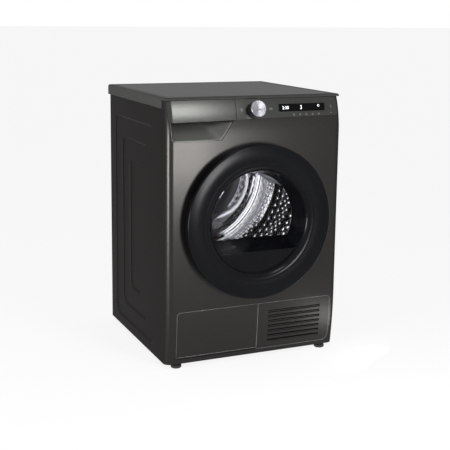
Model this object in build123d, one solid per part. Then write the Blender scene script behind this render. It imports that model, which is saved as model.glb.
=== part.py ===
from build123d import *
import os
from math import cos, radians, sin, sqrt, tan

# Heat-pump tumble dryer, 60 cm class, built as separate pieces in millimetres.
# +X is to the user's right, +Y goes to the rear wall and +Z is up. The origin is on the
# floor under the centre of the machine's bounding box.

# ---- driving dimensions: the whole machine --------------------------------------------
DRUM_RADIUS = 272.0
UNDER_ROOM = 253.0       # floor to the drum's underside, for the base
TOP_ROOM = 53.0          # drum to the top face, for the tank and the cover
SIDE_ROOM = 27.0         # drum to the outside of each side panel
CASE_DEPTH = 565.0       # flat of the front panel to the rear panel
TOP_OVERHANG = 25.0      # top cover behind the rear panel
DOOR_PROUD = 40.0        # door ring in front of the front panel
FOOT_LIFT = 15.0         # underside of the case above the floor
SHEET = 1.0              # pressed steel
WALL = 2.5               # moulded plastic
SPLIT = 0.8              # half of the visible joint between front pieces
RUN = 0.05               # radial clearance of a turning fit
GAP = 0.3                # clearance between bodies that pass each other

DRUM_Z = UNDER_ROOM + DRUM_RADIUS
HEIGHT = DRUM_Z + DRUM_RADIUS + TOP_ROOM
HALF = DRUM_RADIUS + SIDE_ROOM
WIDTH = 2 * HALF
FRONT = -(CASE_DEPTH + TOP_OVERHANG - DOOR_PROUD) / 2
REAR = FRONT + CASE_DEPTH

# ---- front of the case ----------------------------------------------------------------
SEAM = 46.0              # depth at which the front wraps into the side panels
FRONT_CORNER = 22.0      # round of the front's upright corners
COVER_NOSE = 9.0         # thickness of the top cover's front edge
FLAT_LOW = 200.0         # the front is flat between these heights
FLAT_HIGH = HEIGHT - 120.0
KICK_LEAN = 13.0         # the front leans back by this much at its foot
BAND_LEAN = 22.0         # and by this much at its head
FRONT_TOP = HEIGHT - COVER_NOSE
KICK_RADIUS = ((FLAT_LOW - FOOT_LIFT) ** 2 + KICK_LEAN ** 2) / (2 * KICK_LEAN)
BAND_RADIUS = ((FRONT_TOP - FLAT_HIGH) ** 2 + BAND_LEAN ** 2) / (2 * BAND_LEAN)
RIM = 14.0               # how far the front pieces' rims turn back

BAND_HEIGHT = 66.0       # control band at its left end
BAND_RISE = 7.0          # its lower edge climbs by this to the right
BAND_SIDE = 4.0          # margin left of the band at its top
BAND_SLANT = 4.0         # the band's left end runs in by this to the bottom
BAND_END = 12.0          # margin right of the band
BAND_CORNER = 10.0
DRAWER_WIDTH = 225.0     # tank drawer's share of the band
GRIP_HEIGHT = 58.0       # hand recess under the drawer
GRIP_FLOOR = 167.0       # width of its lower edge
GRIP_DEPTH = 36.0
GRIP_SLANT = 42.0        # run of its slanted right side
GRIP_INSET = 12.0        # recess starts this far inside the side
BAND_LOW = FRONT_TOP - BAND_HEIGHT
BAND_LEFT = -HALF + BAND_SIDE
BAND_RIGHT = HALF - BAND_END
DRAWER_RIGHT = BAND_LEFT + DRAWER_WIDTH

KICK_LOW = 30.0          # kick zone with the flap and the grille
KICK_HEIGHT = 155.0
KICK_MARGIN = 34.0       # left of the flap
KICK_END = 24.0          # right of the grille
FLAP_WIDTH = 277.0
KICK_CORNER = 12.0
KICK_RIM = 8.0           # depth of the kick pieces' rims
GRILLE_CORNER = 22.0
SLOT_COUNT = 7
SLOT_PITCH = 17.0
SLOT_HEIGHT = 8.0
SLOT_LENGTH = 189.0
KICK_HIGH = KICK_LOW + KICK_HEIGHT
FLAP_LEFT = -HALF + KICK_MARGIN
FLAP_RIGHT = FLAP_LEFT + FLAP_WIDTH
GRILLE_RIGHT = HALF - KICK_END

# ---- controls -------------------------------------------------------------------------
DIAL_X = -7.0
DIAL_Z = HEIGHT - 44.0
DIAL_RADIUS = 25.5
DIAL_STAND = 6.0         # dial's skirt in front of the band
DIAL_LENGTH = 26.0
DIAL_TILT = 15.0         # degrees that the dial looks up
SHAFT_RADIUS = 3.0
DISPLAY_LEFT = HALF - 222.0
DISPLAY_WIDTH = 163.0
DISPLAY_LOW = HEIGHT - 51.0
DISPLAY_HEIGHT = 23.0

# ---- door -----------------------------------------------------------------------------
DOOR_Z = DRUM_Z - 66.0   # the mouth lies below the drum's centre
DOOR_RADIUS = 245.0
LIP_RADIUS = DOOR_RADIUS - 80.0    # inner edge of the ring
DOOR_BACK = 4.0          # gap from the door's back to the front panel
DOOR_SHELL = 3.0
MOUTH_RADIUS = DOOR_RADIUS - 55.0    # hole in the front panel
SEAL_PROUD = 3.7
WINDOW_RADIUS = DOOR_RADIUS - 100.0
WINDOW_DEPTH = 38.0      # window behind the front plane
SILL_Z = DOOR_Z - 63.0   # flat lower edge of the window
PLATE_Z = DOOR_Z - 94.0  # upper edge of the plate under the sill
PLATE_DEPTH = -20.0
GLASS = 4.0
GRIP_REACH = 24.0        # finger grip: how far in from the rim
GRIP_FRONT = 30.0        # how far in front of the front panel it reaches
GRIP_END = 22.5          # degrees above nine o'clock
PIN_X = DOOR_RADIUS - 14.0     # door hinge
PIN_DEPTH = -26.0
PIN_RADIUS = 3.0
KNUCKLE = 6.0
KNUCKLE_HALF = 20.0      # half length of the door's knuckle
ARM_HEIGHT = 13.0
ARM_THICK = 7.0

# ---- drum -----------------------------------------------------------------------------
DRUM_FRONT = 84.0        # depths behind the front plane
DRUM_BACK = CASE_DEPTH - 73.0
DRUM_LIP = 10.0          # rolled rim at each end
COLLAR_RADIUS = DRUM_RADIUS - 18.0    # bulkhead collars inside the rims
BULKHEAD_DEPTH = DRUM_FRONT - 12.0
REAR_BULKHEAD_DEPTH = DRUM_BACK + 8.0
BULKHEAD_LOW = UNDER_ROOM - 17.0
BULKHEAD_HIGH = DRUM_Z + 165.0
BULKHEAD_HEAD = DRUM_RADIUS - 8.0    # radius of the bulkheads' round heads
LIFTER_HEIGHT = 42.0
LIFTER_WIDTH = 60.0
LIFTER_COUNT = 3
LIFTER_START = 150.0     # degrees
ROLLER_RADIUS = 33.0
ROLLER_WIDTH = 20.0
ROLLER_ANGLE = 30.0      # degrees each side of straight down
AXLE_RADIUS = 5.0
FRONT_ROLLER_DEPTH = DRUM_FRONT + 6.0
REAR_ROLLER_DEPTH = DRUM_BACK - 28.0

# ---- drive ----------------------------------------------------------------------------
MOTOR_X = 110.0
MOTOR_Z = 190.0
MOTOR_RADIUS = 50.0
MOTOR_LENGTH = 100.0
MOTOR_SHAFT = 6.0
PULLEY_RADIUS = 10.0
BELT_DEPTH = 225.0
BELT_WIDTH = 16.0
BELT_THICK = 2.0
MOTOR_FRONT = BELT_DEPTH + 37.0
ARM_DEPTH = BELT_DEPTH + BELT_WIDTH + 6.0    # front of the arm that carries the idler
IDLER_X = 52.0
IDLER_RADIUS = 12.0
BLOWER_DEPTH = 400.0
BLOWER_LENGTH = 52.0
BLOWER_RADIUS = 56.0
BLADE_COUNT = 24
PLENUM_DEPTH = 366.0     # inlet box in front of the blower
PLENUM_LOW = 122.0

# ---- base, heat pump and services -----------------------------------------------------
BASE_FRONT = 50.0
APRON_FRONT = 17.0
BASE_BACK = CASE_DEPTH - 7.0
BASE_WALL_Z = 78.0
BASE_WALL = 3.0
DUCT_LEFT = -HALF + 37.0
DUCT_RIGHT = -8.0
DUCT_FRONT = 56.0
DUCT_BACK = 420.0
DUCT_TOP = 200.0
FIN_PITCH = 12.0
FIN = 3.0
COMPRESSOR_X = HALF - 71.0
COMPRESSOR_DEPTH = 335.0
COMPRESSOR_RADIUS = 50.0
COMPRESSOR_HEIGHT = 158.0
PIPE_RADIUS = 4.0
FAN_X = 150.0
FAN_Z = 108.0
FAN_RADIUS = 45.0
FAN_DEPTH = 62.0
FAN_LENGTH = 24.0
FOOT_RADIUS = 17.0
FOOT_X = HALF - 42.0
FOOT_FRONT = 30.0
FOOT_REAR = CASE_DEPTH - 45.0
STEM_RADIUS = 5.0
TANK_HEIGHT = 44.0
TANK_TOP = HEIGHT - 25.0
TANK_LOW = TANK_TOP - TANK_HEIGHT
TANK_LEFT = -HALF + 18.0
TANK_WIDTH = 200.0
TANK_FRONT = 42.0
TANK_BACK = CASE_DEPTH - 95.0
TANK_DRUM_GAP = 12.0
FILTER_HALF = 70.0
FILTER_FRONT = 52.0
FILTER_THICK = 16.0
FILTER_LOW = 208.0
FILTER_HEIGHT = 80.0
LIP_HEIGHT = 34.0        # side edge of the top cover
COVER_ROUND = 8.0
INLAY_MARGIN = 18.0

# ---- sheet forms and openings in the case ---------------------------------------------
FLANGE = 14.0            # turned-in edges of the side panels
TERRACE_DEPTH = 4.0      # each pressed step of the side panels
TERRACE_TAPER = 60.0     # degrees
TERRACES = (             # margins: front, rear, bottom, top; then the corner radius
    (72.0, 41.0, 30.0, 60.0, 36.0),
    (140.0, 107.0, 85.0, 128.0, 34.0),
    (213.0, 176.0, 155.0, 200.0, 28.0),
)
INLAY_THICK = 7.0
INLAY_GROOVE = 1.5
AIR_RADIUS = 140.0       # perforated centre of the rear bulkhead
BASE_HALF = HALF - FLANGE - GAP
DUCT_PAN = 19.0          # depth of the rear duct cover
NOZZLE_LEFT = 60.0
NOZZLE_RIGHT = 150.0
NOZZLE_LOW = 132.0
NOZZLE_HIGH = 178.0
OUTLET_X = -HALF + 84.0        # condensate outlet
OUTLET_Z = 52.0
OUTLET_RADIUS = 8.0      # spigot for the drain hose
OUTLET_NECK = 10.0       # its root through the rear panel
OUTLET_LENGTH = 18.0
INLET_X = HALF - 74.0    # mains inlet
INLET_Z = HEIGHT - 105.0
INLET_WIDTH = 52.0
INLET_HEIGHT = 30.0
VENT_X = HALF - 74.0
VENT_LOW = 70.0
VENT_PITCH = 12.0
VENT_COUNT = 6
VENT_LENGTH = 80.0
VENT_HEIGHT = 5.0
STEM_TOP = 34.0
RIB_DEPTHS = (120.0, 210.0, 480.0)
COVER_DEPTH = 40.0
LEVER_LEFT = DUCT_LEFT + 24.0
LEVER_RIGHT = DUCT_RIGHT - 24.0
LEVER_Z = 112.0
LEVER_PIN = 3.0
FLAP_PIVOT = 3.5         # hinge axis behind the flap's face
FLAP_PIN_Z = KICK_LOW + 4
FLAP_PIN = 2.0
FLAP_LIFT = 2.0
ENCODER_BACK = 26.0
LATCH_X = DOOR_RADIUS - 30.0
DRUM_WALL = 1.2
BEAD = 2.0
BEAD_DEPTHS = (BELT_DEPTH - 25.0, BELT_DEPTH + 41.0)
SILL_CORNER = 12.0
WELL_FRONT = 24.0        # front edge of the window's well, in front of the front plane
PLUG_GAP = 6.0           # door's plug inside the mouth
THROAT_TAPER = 12.0
STRAP = 44.0
BRACKET_LEFT = PIN_X - 26.0
BRACKET_WIDTH = 16.0
BRACKET_HALF = 58.0
RING_OUTER = COLLAR_RADIUS - 4.0
RING_STEPS = (           # rear bulkhead: way in from its ring's edge, and step from its plane
    (0.0, 0.0), (12.0, 0.0), (17.0, -4.0), (22.0, 0.0), (36.0, -1.0), (50.0, -9.0), (63.0, -3.0),
    (102.0, -3.0), (104.0, -5.0),
)
PERFORATION_RADIUS = 5.0
PERFORATION_FIRST = 20.0     # radius of the first row
PERFORATION_PITCH = 30.0     # from row to row
PERFORATION_COUNT = 6        # holes in the first row, and how many more each row has
ROW_COUNT = 4
IDLER_AXLE = 4.0
EVAPORATOR_DEPTH = 82.0
CONDENSER_DEPTH = 222.0
HOSE_RADIUS = 6.0
PUMP_DEPTH = CASE_DEPTH - 95.0
PUMP_LENGTH = 60.0


# ---- small helpers --------------------------------------------------------------------
def block(x0, x1, y0, y1, z0, z1):
    """Box between two corners."""
    return Pos((x0 + x1) / 2, (y0 + y1) / 2, (z0 + z1) / 2) * Box(x1 - x0, y1 - y0, z1 - z0)


def rod_y(x, z, radius, y0, y1):
    """Cylinder along Y."""
    return Pos(x, (y0 + y1) / 2, z) * Rot(90, 0, 0) * Cylinder(radius, y1 - y0)


def rod_z(x, y, radius, z0, z1):
    """Cylinder along Z."""
    return Pos(x, y, (z0 + z1) / 2) * Cylinder(radius, z1 - z0)


def rod_x(y, z, radius, x0, x1):
    """Cylinder along X."""
    return Pos((x0 + x1) / 2, y, z) * Rot(0, 90, 0) * Cylinder(radius, x1 - x0)


def tube_y(x, z, outer, inner, y0, y1):
    """Ring or bush along Y."""
    return rod_y(x, z, outer, y0, y1) - rod_y(x, z, inner, y0 - 1, y1 + 1)


def outline(*corners):
    """Flat face from corners given as (u, v, corner radius)."""
    face = Polygon(*[(u, v) for u, v, radius in corners], align=None)
    for u, v, radius in corners:
        if radius:
            corner = face.vertices().sort_by_distance((u, v, 0))[0]
            face = fillet(corner, radius)
    return face


def prism(face, y0, y1):
    """A face drawn in X and Z, run from y0 to y1."""
    return Pos(0, y0, 0) * extrude(Plane.XZ * face, y1 - y0, dir=(0, 1, 0))


def raised(face, z0, z1):
    """A face drawn in X and Y, run from z0 to z1."""
    return Pos(0, 0, z0) * extrude(face, z1 - z0, dir=(0, 0, 1))


def turned(x, z, *profile):
    """Ring round an axis along Y through (x, z), from a profile of (radius, y)."""
    return Pos(x, 0, z) * revolve(Polygon(*profile, align=None), Axis.Y)


def fused(pieces):
    """One solid from pieces that meet."""
    first, *rest = pieces
    for piece in rest:
        first = first + piece
    return first


# ---- the curved front that the front pieces share -------------------------------------
def front_y(z, inset=0.0):
    """Y of the front surface at height z, moved in by inset."""
    if z < FLAT_LOW:
        return FRONT + KICK_RADIUS - sqrt((KICK_RADIUS - inset) ** 2 - (FLAT_LOW - z) ** 2)
    if z > FLAT_HIGH:
        return FRONT + BAND_RADIUS - sqrt((BAND_RADIUS - inset) ** 2 - (z - FLAT_HIGH) ** 2)
    return FRONT + inset


def front_form(inset):
    """Solid behind the front surface; a larger inset gives the inside of a skin."""
    low = FOOT_LIFT - inset
    high = FRONT_TOP + inset
    back = FRONT + SEAM + inset
    heights = (low, (low + FLAT_LOW) / 2, FLAT_LOW)
    kick = ThreePointArc(*[(front_y(z, inset), z) for z in heights])
    flat = Line((FRONT + inset, FLAT_LOW), (FRONT + inset, FLAT_HIGH))
    heights = (FLAT_HIGH, (high + FLAT_HIGH) / 2, high)
    band = ThreePointArc(*[(front_y(z, inset), z) for z in heights])
    behind = Polyline((front_y(high, inset), high), (back, high), (back, low), (front_y(low, inset), low))
    side = make_face(Plane.YZ * Curve([kick, flat, band, behind]))
    half = HALF - inset
    form = extrude(side, half, both=True)
    corners = [
        edge for edge in form.edges()
        if abs(abs(edge.center().X) - half) < 0.01 and abs((edge % 0.5).Z) > 0.5
        and edge.center().Y < back - 1
    ]
    return fillet(corners, FRONT_CORNER - inset)


def band_floor(x):
    """Height of the control band's lower edge."""
    share = (x - BAND_LEFT) / (BAND_RIGHT - BAND_LEFT)
    return BAND_LOW + BAND_RISE * share


def flap_pin_y():
    """Y of the flap's hinge axis."""
    return front_y(FLAP_PIN_Z) + FLAP_PIVOT


def drawer_zone():
    foot = BAND_LEFT + BAND_SLANT
    return outline(
        (BAND_LEFT, FRONT_TOP, 0),
        (foot, band_floor(foot), BAND_CORNER),
        (DRAWER_RIGHT, band_floor(DRAWER_RIGHT), 0),
        (DRAWER_RIGHT, FRONT_TOP, 0),
    )


def controls_zone():
    return outline(
        (DRAWER_RIGHT, FRONT_TOP, 0),
        (DRAWER_RIGHT, band_floor(DRAWER_RIGHT), 0),
        (BAND_RIGHT, band_floor(BAND_RIGHT), 0),
        (BAND_RIGHT, FRONT_TOP, 0),
    )


def flap_zone():
    return outline(
        (FLAP_LEFT, KICK_HIGH, KICK_CORNER),
        (FLAP_LEFT, KICK_LOW, 0),
        (FLAP_RIGHT, KICK_LOW, 0),
        (FLAP_RIGHT, KICK_HIGH, 0),
    )


def grille_zone():
    return outline(
        (FLAP_RIGHT, KICK_HIGH, 0),
        (FLAP_RIGHT, KICK_LOW, 0),
        (GRILLE_RIGHT, KICK_LOW, GRILLE_CORNER),
        (GRILLE_RIGHT, KICK_HIGH, KICK_CORNER),
    )


def grip_outline(back):
    """Hand recess: its mouth, or its smaller back."""
    left = -HALF + GRIP_INSET + back * 3
    low = BAND_LOW - GRIP_HEIGHT + back * 4
    right = left + GRIP_FLOOR - back * 26
    return outline(
        (left, band_floor(left), 0),
        (left + 5, low, BAND_CORNER),
        (right, low, 0),
        (right + GRIP_SLANT, band_floor(right + GRIP_SLANT), 0),
    )


def front_tile(zone, rim):
    """Moulded front piece: the curved face with a rim turned back all round."""
    face = offset(zone, -SPLIT, kind=Kind.INTERSECTION)
    core = offset(zone, -SPLIT - WALL, kind=Kind.INTERSECTION)
    deep = FRONT + SEAM
    shell = (front_form(0) - front_form(rim)) & prism(face, FRONT - 1, deep)
    return shell - (front_form(WALL) & prism(core, FRONT - 1, deep))


# ---- case -----------------------------------------------------------------------------
def front_panel():
    """Pressed front: wrapped corners, band, kick zone, mouth with a turned lip, hand recess."""
    skin = front_form(0) - front_form(SHEET)
    deep = FRONT + SEAM
    for zone in (grip_outline(0), drawer_zone(), controls_zone(), flap_zone(), grille_zone()):
        skin = skin - prism(zone, FRONT - 1, deep)
    skin = skin - rod_y(0, DOOR_Z, MOUTH_RADIUS, FRONT - 1, deep)
    lip = turned(
        0, DOOR_Z,
        (MOUTH_RADIUS, FRONT), (MOUTH_RADIUS + SHEET, FRONT),
        (MOUTH_RADIUS + SHEET, FRONT + 10), (MOUTH_RADIUS, FRONT + 10),
    )
    mouth = Plane.XZ.offset(-FRONT) * grip_outline(0)
    back = Plane.XZ.offset(-FRONT - GRIP_DEPTH) * grip_outline(1)
    wide = Plane.XZ.offset(-FRONT) * offset(grip_outline(0), SHEET, kind=Kind.INTERSECTION)
    wide_back = Plane.XZ.offset(-FRONT - GRIP_DEPTH - SHEET) * offset(
        grip_outline(1), SHEET, kind=Kind.INTERSECTION)
    pocket = loft([wide, wide_back]) - loft([mouth, back])
    pocket = pocket & block(-HALF, HALF, FRONT + SHEET / 2, deep, 0, BAND_LOW)
    slot = block(-LATCH_X - 6, -LATCH_X + 8, FRONT - 1, FRONT + SHEET + 1, DOOR_Z - 11, DOOR_Z + 11)
    lug = block(FLAP_LEFT - 8, FLAP_LEFT - 2, FRONT + SHEET, flap_pin_y() + 6, KICK_LOW - 2, FLAP_PIN_Z + 6)
    lug = lug & front_form(SHEET)
    lug = lug - rod_x(flap_pin_y(), FLAP_PIN_Z, FLAP_PIN + RUN, FLAP_LEFT - 9, FLAP_LEFT)
    return skin + lip + pocket + lug - slot


def side_panel():
    """Right side: a pressed sheet with turned-in edges and three nested terraces."""
    low, high = FOOT_LIFT, HEIGHT - LIP_HEIGHT - 0.5
    near, far = FRONT + SEAM + 0.5, REAR
    form = block(HALF - FLANGE, HALF, near, far, low, high)
    outside = Plane(origin=(HALF, 0, 0), x_dir=(0, -1, 0), z_dir=(-1, 0, 0))
    for level, (ahead, behind, below, above, corner) in enumerate(TERRACES):
        wide = far - near - ahead - behind
        tall = high - low - below - above
        face = Pos(-(near + ahead + wide / 2), low + below + tall / 2) * RectangleRounded(wide, tall, corner)
        top = outside.offset(level * TERRACE_DEPTH)
        form = form - extrude(top * face, TERRACE_DEPTH, taper=TERRACE_TAPER)
    inside = block(0, HALF, near + SHEET, far - SHEET, low + SHEET, high - SHEET)
    return form - ((Pos(-SHEET, 0, 0) * form) & inside)


def top_frame():
    """Moulded rim of the top cover: rounded edge, side lip and an open middle."""
    front = FRONT + BAND_LEAN - 1
    back = REAR + TOP_OVERHANG
    rim = block(-HALF, HALF, front, back, FRONT_TOP + 0.5, HEIGHT)
    lip = block(-HALF, HALF, FRONT + SEAM + 0.5, back, HEIGHT - LIP_HEIGHT, HEIGHT)
    form = rim + lip
    edges = form.edges().group_by(Axis.Z)[-1]
    form = fillet(edges, COVER_ROUND - 1)
    inner = block(
        -HALF + BASE_WALL, HALF - BASE_WALL, FRONT + SEAM, back - BASE_WALL,
        HEIGHT - LIP_HEIGHT - 1, HEIGHT - INLAY_THICK - BASE_WALL,
    )
    window = block(
        -HALF + INLAY_MARGIN + 12, HALF - INLAY_MARGIN - 12, front + INLAY_MARGIN + 12,
        back - INLAY_MARGIN - 12, HEIGHT - LIP_HEIGHT, HEIGHT + 1,
    )
    seat = block(
        -HALF + INLAY_MARGIN, HALF - INLAY_MARGIN, front + INLAY_MARGIN, back - INLAY_MARGIN,
        HEIGHT - INLAY_THICK, HEIGHT + 1,
    )
    return form - inner - window - seat


def top_plate():
    """Flat inlay of the top cover, a groove away from its rim."""
    front = FRONT + BAND_LEAN - 1 + INLAY_MARGIN + INLAY_GROOVE
    back = REAR + TOP_OVERHANG - INLAY_MARGIN - INLAY_GROOVE
    half = HALF - INLAY_MARGIN - INLAY_GROOVE
    plate = block(-half, half, front, back, HEIGHT - INLAY_THICK, HEIGHT - 0.4)
    return chamfer(plate.edges().group_by(Axis.Z)[-1], 0.8)


def rear_panel():
    """Rear sheet with the air opening, two stiffening beads and the pump's outlet."""
    near, far = REAR, REAR + SHEET
    half, low, high = HALF - 9, FOOT_LIFT + 4, HEIGHT - LIP_HEIGHT - 4
    sheet = block(-half, half, near, far, low, high)
    sheet = sheet - rod_y(0, DRUM_Z, AIR_RADIUS, near - 1, far + 1)
    sheet = sheet - block(NOZZLE_LEFT, NOZZLE_RIGHT, near - 1, far + 1, NOZZLE_LOW, NOZZLE_HIGH)
    sheet = sheet - rod_y(OUTLET_X, OUTLET_Z, OUTLET_NECK + GAP, near - 1, far + 1)
    sheet = sheet - block(
        INLET_X - INLET_WIDTH / 2 - GAP, INLET_X + INLET_WIDTH / 2 + GAP, near - 1, far + 1,
        INLET_Z - INLET_HEIGHT / 2 - GAP, INLET_Z + INLET_HEIGHT / 2 + GAP)
    for row in range(VENT_COUNT):
        z = VENT_LOW + row * VENT_PITCH
        sheet = sheet - prism(Pos(VENT_X, z) * SlotOverall(VENT_LENGTH, VENT_HEIGHT), near - 1, far + 1)
    return sheet


def rear_duct_outline(margin):
    """Round over the drum, carried down over the blower's nozzle."""
    round_part = Pos(0, DRUM_Z) * Circle(AIR_RADIUS + 50 + margin)
    neck_half = (NOZZLE_RIGHT - NOZZLE_LEFT) / 2 + 12 + margin
    neck_x = (NOZZLE_LEFT + NOZZLE_RIGHT) / 2
    low = NOZZLE_LOW - 12 - margin
    neck = Pos(neck_x, (low + DRUM_Z) / 2) * RectangleRounded(2 * neck_half, DRUM_Z - low, 12)
    return round_part + neck


def rear_duct_cover():
    """Pressed pan that carries the air up behind the drum."""
    near = REAR + SHEET
    pan = prism(rear_duct_outline(0), near, near + DUCT_PAN)
    pan = pan - prism(rear_duct_outline(-SHEET), near - 1, near + DUCT_PAN - SHEET)
    flange = prism(rear_duct_outline(10), near, near + SHEET)
    flange = flange - prism(rear_duct_outline(-SHEET), near - 1, near + 2)
    return pan + flange


def base_housing():
    """Moulded floor of the machine with the heat-exchanger duct and the foot bosses."""
    y0, y1 = FRONT + BASE_FRONT, FRONT + BASE_BACK
    floor = FOOT_LIFT + BASE_WALL
    tray = block(-BASE_HALF, BASE_HALF, y0, y1, FOOT_LIFT, BASE_WALL_Z)
    tray = fillet(tray.edges().filter_by(Axis.Z), 12)
    tray = tray - fillet(
        block(-BASE_HALF + BASE_WALL, BASE_HALF - BASE_WALL, y0 + BASE_WALL, y1 - BASE_WALL,
              floor, BASE_WALL_Z + 1).edges().filter_by(Axis.Z), 9)
    tray = tray + block(-BASE_HALF, BASE_HALF, FRONT + APRON_FRONT, y0 + BASE_WALL, FOOT_LIFT, floor)
    d0, d1 = FRONT + DUCT_FRONT, FRONT + DUCT_BACK
    tray = tray - block(DUCT_LEFT, DUCT_RIGHT, y0 - 1, d1, floor + 22, DUCT_TOP)
    duct = block(DUCT_LEFT, DUCT_RIGHT, d0, d1, FOOT_LIFT, DUCT_TOP - BASE_WALL)
    duct = duct - block(
        DUCT_LEFT + BASE_WALL, DUCT_RIGHT - BASE_WALL, d0 - 1, d1 - BASE_WALL, floor + 6, DUCT_TOP)
    duct = duct - block(
        DUCT_RIGHT - BASE_WALL - 1, DUCT_RIGHT + 1, FRONT + PLENUM_DEPTH + WALL, FRONT + BLOWER_DEPTH - WALL,
        PLENUM_LOW + WALL, DUCT_TOP - 20)
    tray = tray + duct
    for x in (-FOOT_X, FOOT_X):
        for depth in (FOOT_FRONT, FOOT_REAR):
            tray = tray + rod_z(x, FRONT + depth, STEM_RADIUS + 4, FOOT_LIFT, STEM_TOP + 8)
            tray = tray - rod_z(x, FRONT + depth, STEM_RADIUS + RUN, FOOT_LIFT - 1, STEM_TOP + 16)
    ribs = [block(0, BASE_HALF - BASE_WALL, FRONT + depth, FRONT + depth + BASE_WALL, FOOT_LIFT, floor + 12)
            for depth in RIB_DEPTHS]
    outlet = rod_y(OUTLET_X, OUTLET_Z, OUTLET_NECK + GAP, y1 - BASE_WALL - 1, y1 + 1)
    return fused([tray] + ribs) - outlet


def base_cover():
    """Lid of the heat-exchanger duct, open under the lint filter."""
    d0, d1 = FRONT + DUCT_FRONT, FRONT + DUCT_BACK
    lid = block(DUCT_LEFT, DUCT_RIGHT, d0, d1, DUCT_TOP - BASE_WALL, DUCT_TOP)
    lid = fillet(lid.edges().filter_by(Axis.Z), 6)
    throat = block(DUCT_LEFT + 60, DUCT_RIGHT - 6, FRONT + FILTER_FRONT + 8,
                   FRONT + FILTER_FRONT + FILTER_THICK + 6, DUCT_TOP - 9, DUCT_TOP + 1)
    return lid - throat


# ---- kick zone ------------------------------------------------------------------------
def grille_panel():
    """Fixed kick panel with seven raked cooling slots."""
    tile = front_tile(grille_zone(), KICK_RIM)
    centre = (FLAP_RIGHT + GRILLE_RIGHT) / 2 + 1
    first = KICK_HIGH - 28
    for row in range(SLOT_COUNT):
        z = first - row * SLOT_PITCH
        slot = Rot(20, 0, 0) * Box(SLOT_LENGTH, 30, SLOT_HEIGHT)
        tile = tile - Pos(centre, FRONT + 8, z) * slot
    bore = rod_x(flap_pin_y(), FLAP_PIN_Z, FLAP_PIN + RUN, FLAP_RIGHT - 1, FLAP_RIGHT + SPLIT + WALL + 1)
    return tile - bore


def access_flap():
    """Kick flap over the heat exchanger, hinged along its lower edge."""
    tile = front_tile(flap_zone(), KICK_RIM)
    tile = tile - block(
        FLAP_LEFT, FLAP_RIGHT, front_y(KICK_LOW) + FLAP_PIVOT + 3, FRONT + SEAM, 0, KICK_LOW + 18)
    tile = tile - block(FLAP_LEFT, FLAP_RIGHT, FRONT, FRONT + SEAM, 0, KICK_LOW + FLAP_LIFT)
    left_pin = rod_x(flap_pin_y(), FLAP_PIN_Z, FLAP_PIN, FLAP_LEFT - 7, FLAP_LEFT + SPLIT + WALL)
    right_pin = rod_x(
        flap_pin_y(), FLAP_PIN_Z, FLAP_PIN, FLAP_RIGHT - SPLIT - WALL, FLAP_RIGHT + SPLIT + WALL)
    return tile + left_pin + right_pin


def exchanger_cover():
    """Inner cover that closes the heat-exchanger duct behind the flap."""
    near = FRONT + COVER_DEPTH
    left, right = DUCT_LEFT, DUCT_RIGHT
    low, high = FOOT_LIFT + BASE_WALL + 22, DUCT_TOP - BASE_WALL - GAP
    face = outline((left, low, 6), (right, low, 6), (right, high, 6), (left, high, 6))
    core = offset(face, -8)
    cover = prism(face, near, FRONT + DUCT_FRONT) - prism(core, near + BASE_WALL, FRONT + DUCT_FRONT + 1)
    for x in (LEVER_LEFT, LEVER_RIGHT):
        cover = cover + rod_y(x, LEVER_Z, 7, near - 4, near + 1)
        cover = cover - rod_y(x, LEVER_Z, LEVER_PIN + RUN, near - 5, near + BASE_WALL + 1)
    return cover


def cover_lever(x):
    """Turn lever of the inner cover."""
    near = FRONT + COVER_DEPTH - 4 - GAP
    grip = prism(Pos(x, LEVER_Z) * Rot(0, 0, 90) * SlotOverall(44, 13), near - 7, near)
    grip = fillet(grip.edges().group_by(Axis.Y)[0], 1.5)
    pin = rod_y(x, LEVER_Z, LEVER_PIN, near - 1, near + 10)
    return grip + pin


# ---- control band ---------------------------------------------------------------------
def dial_frame():
    """Plane on the band's surface whose normal is the dial's axis."""
    tilt = radians(DIAL_TILT)
    return Plane(
        origin=(DIAL_X, front_y(DIAL_Z), DIAL_Z), x_dir=(1, 0, 0), z_dir=(0, -cos(tilt), sin(tilt)))


def display_outline(margin):
    return outline(
        (DISPLAY_LEFT - margin, DISPLAY_LOW - margin, 1.5),
        (DISPLAY_LEFT + DISPLAY_WIDTH + margin, DISPLAY_LOW - margin, 1.5),
        (DISPLAY_LEFT + DISPLAY_WIDTH + margin, DISPLAY_LOW + DISPLAY_HEIGHT + margin, 1.5),
        (DISPLAY_LEFT - margin, DISPLAY_LOW + DISPLAY_HEIGHT + margin, 1.5),
    )


def control_panel():
    """Right part of the band, with the dial's bore and the display's opening."""
    tile = front_tile(controls_zone(), RIM)
    tile = tile - prism(display_outline(GAP), FRONT - 1, FRONT + SEAM)
    plane = dial_frame()
    seat = extrude(plane.offset(-WALL - 3) * Circle(DIAL_RADIUS - 3), 3 + WALL / 2)
    bore = extrude(plane.offset(-WALL - 8) * Circle(SHAFT_RADIUS + 0.4), 30)
    return tile + (seat & front_form(WALL / 2)) - bore


def display_window():
    """Dark glass of the display, flush with the band."""
    deep = FRONT + SEAM
    return (front_form(0) - front_form(WALL)) & prism(display_outline(0), FRONT, deep)


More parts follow.
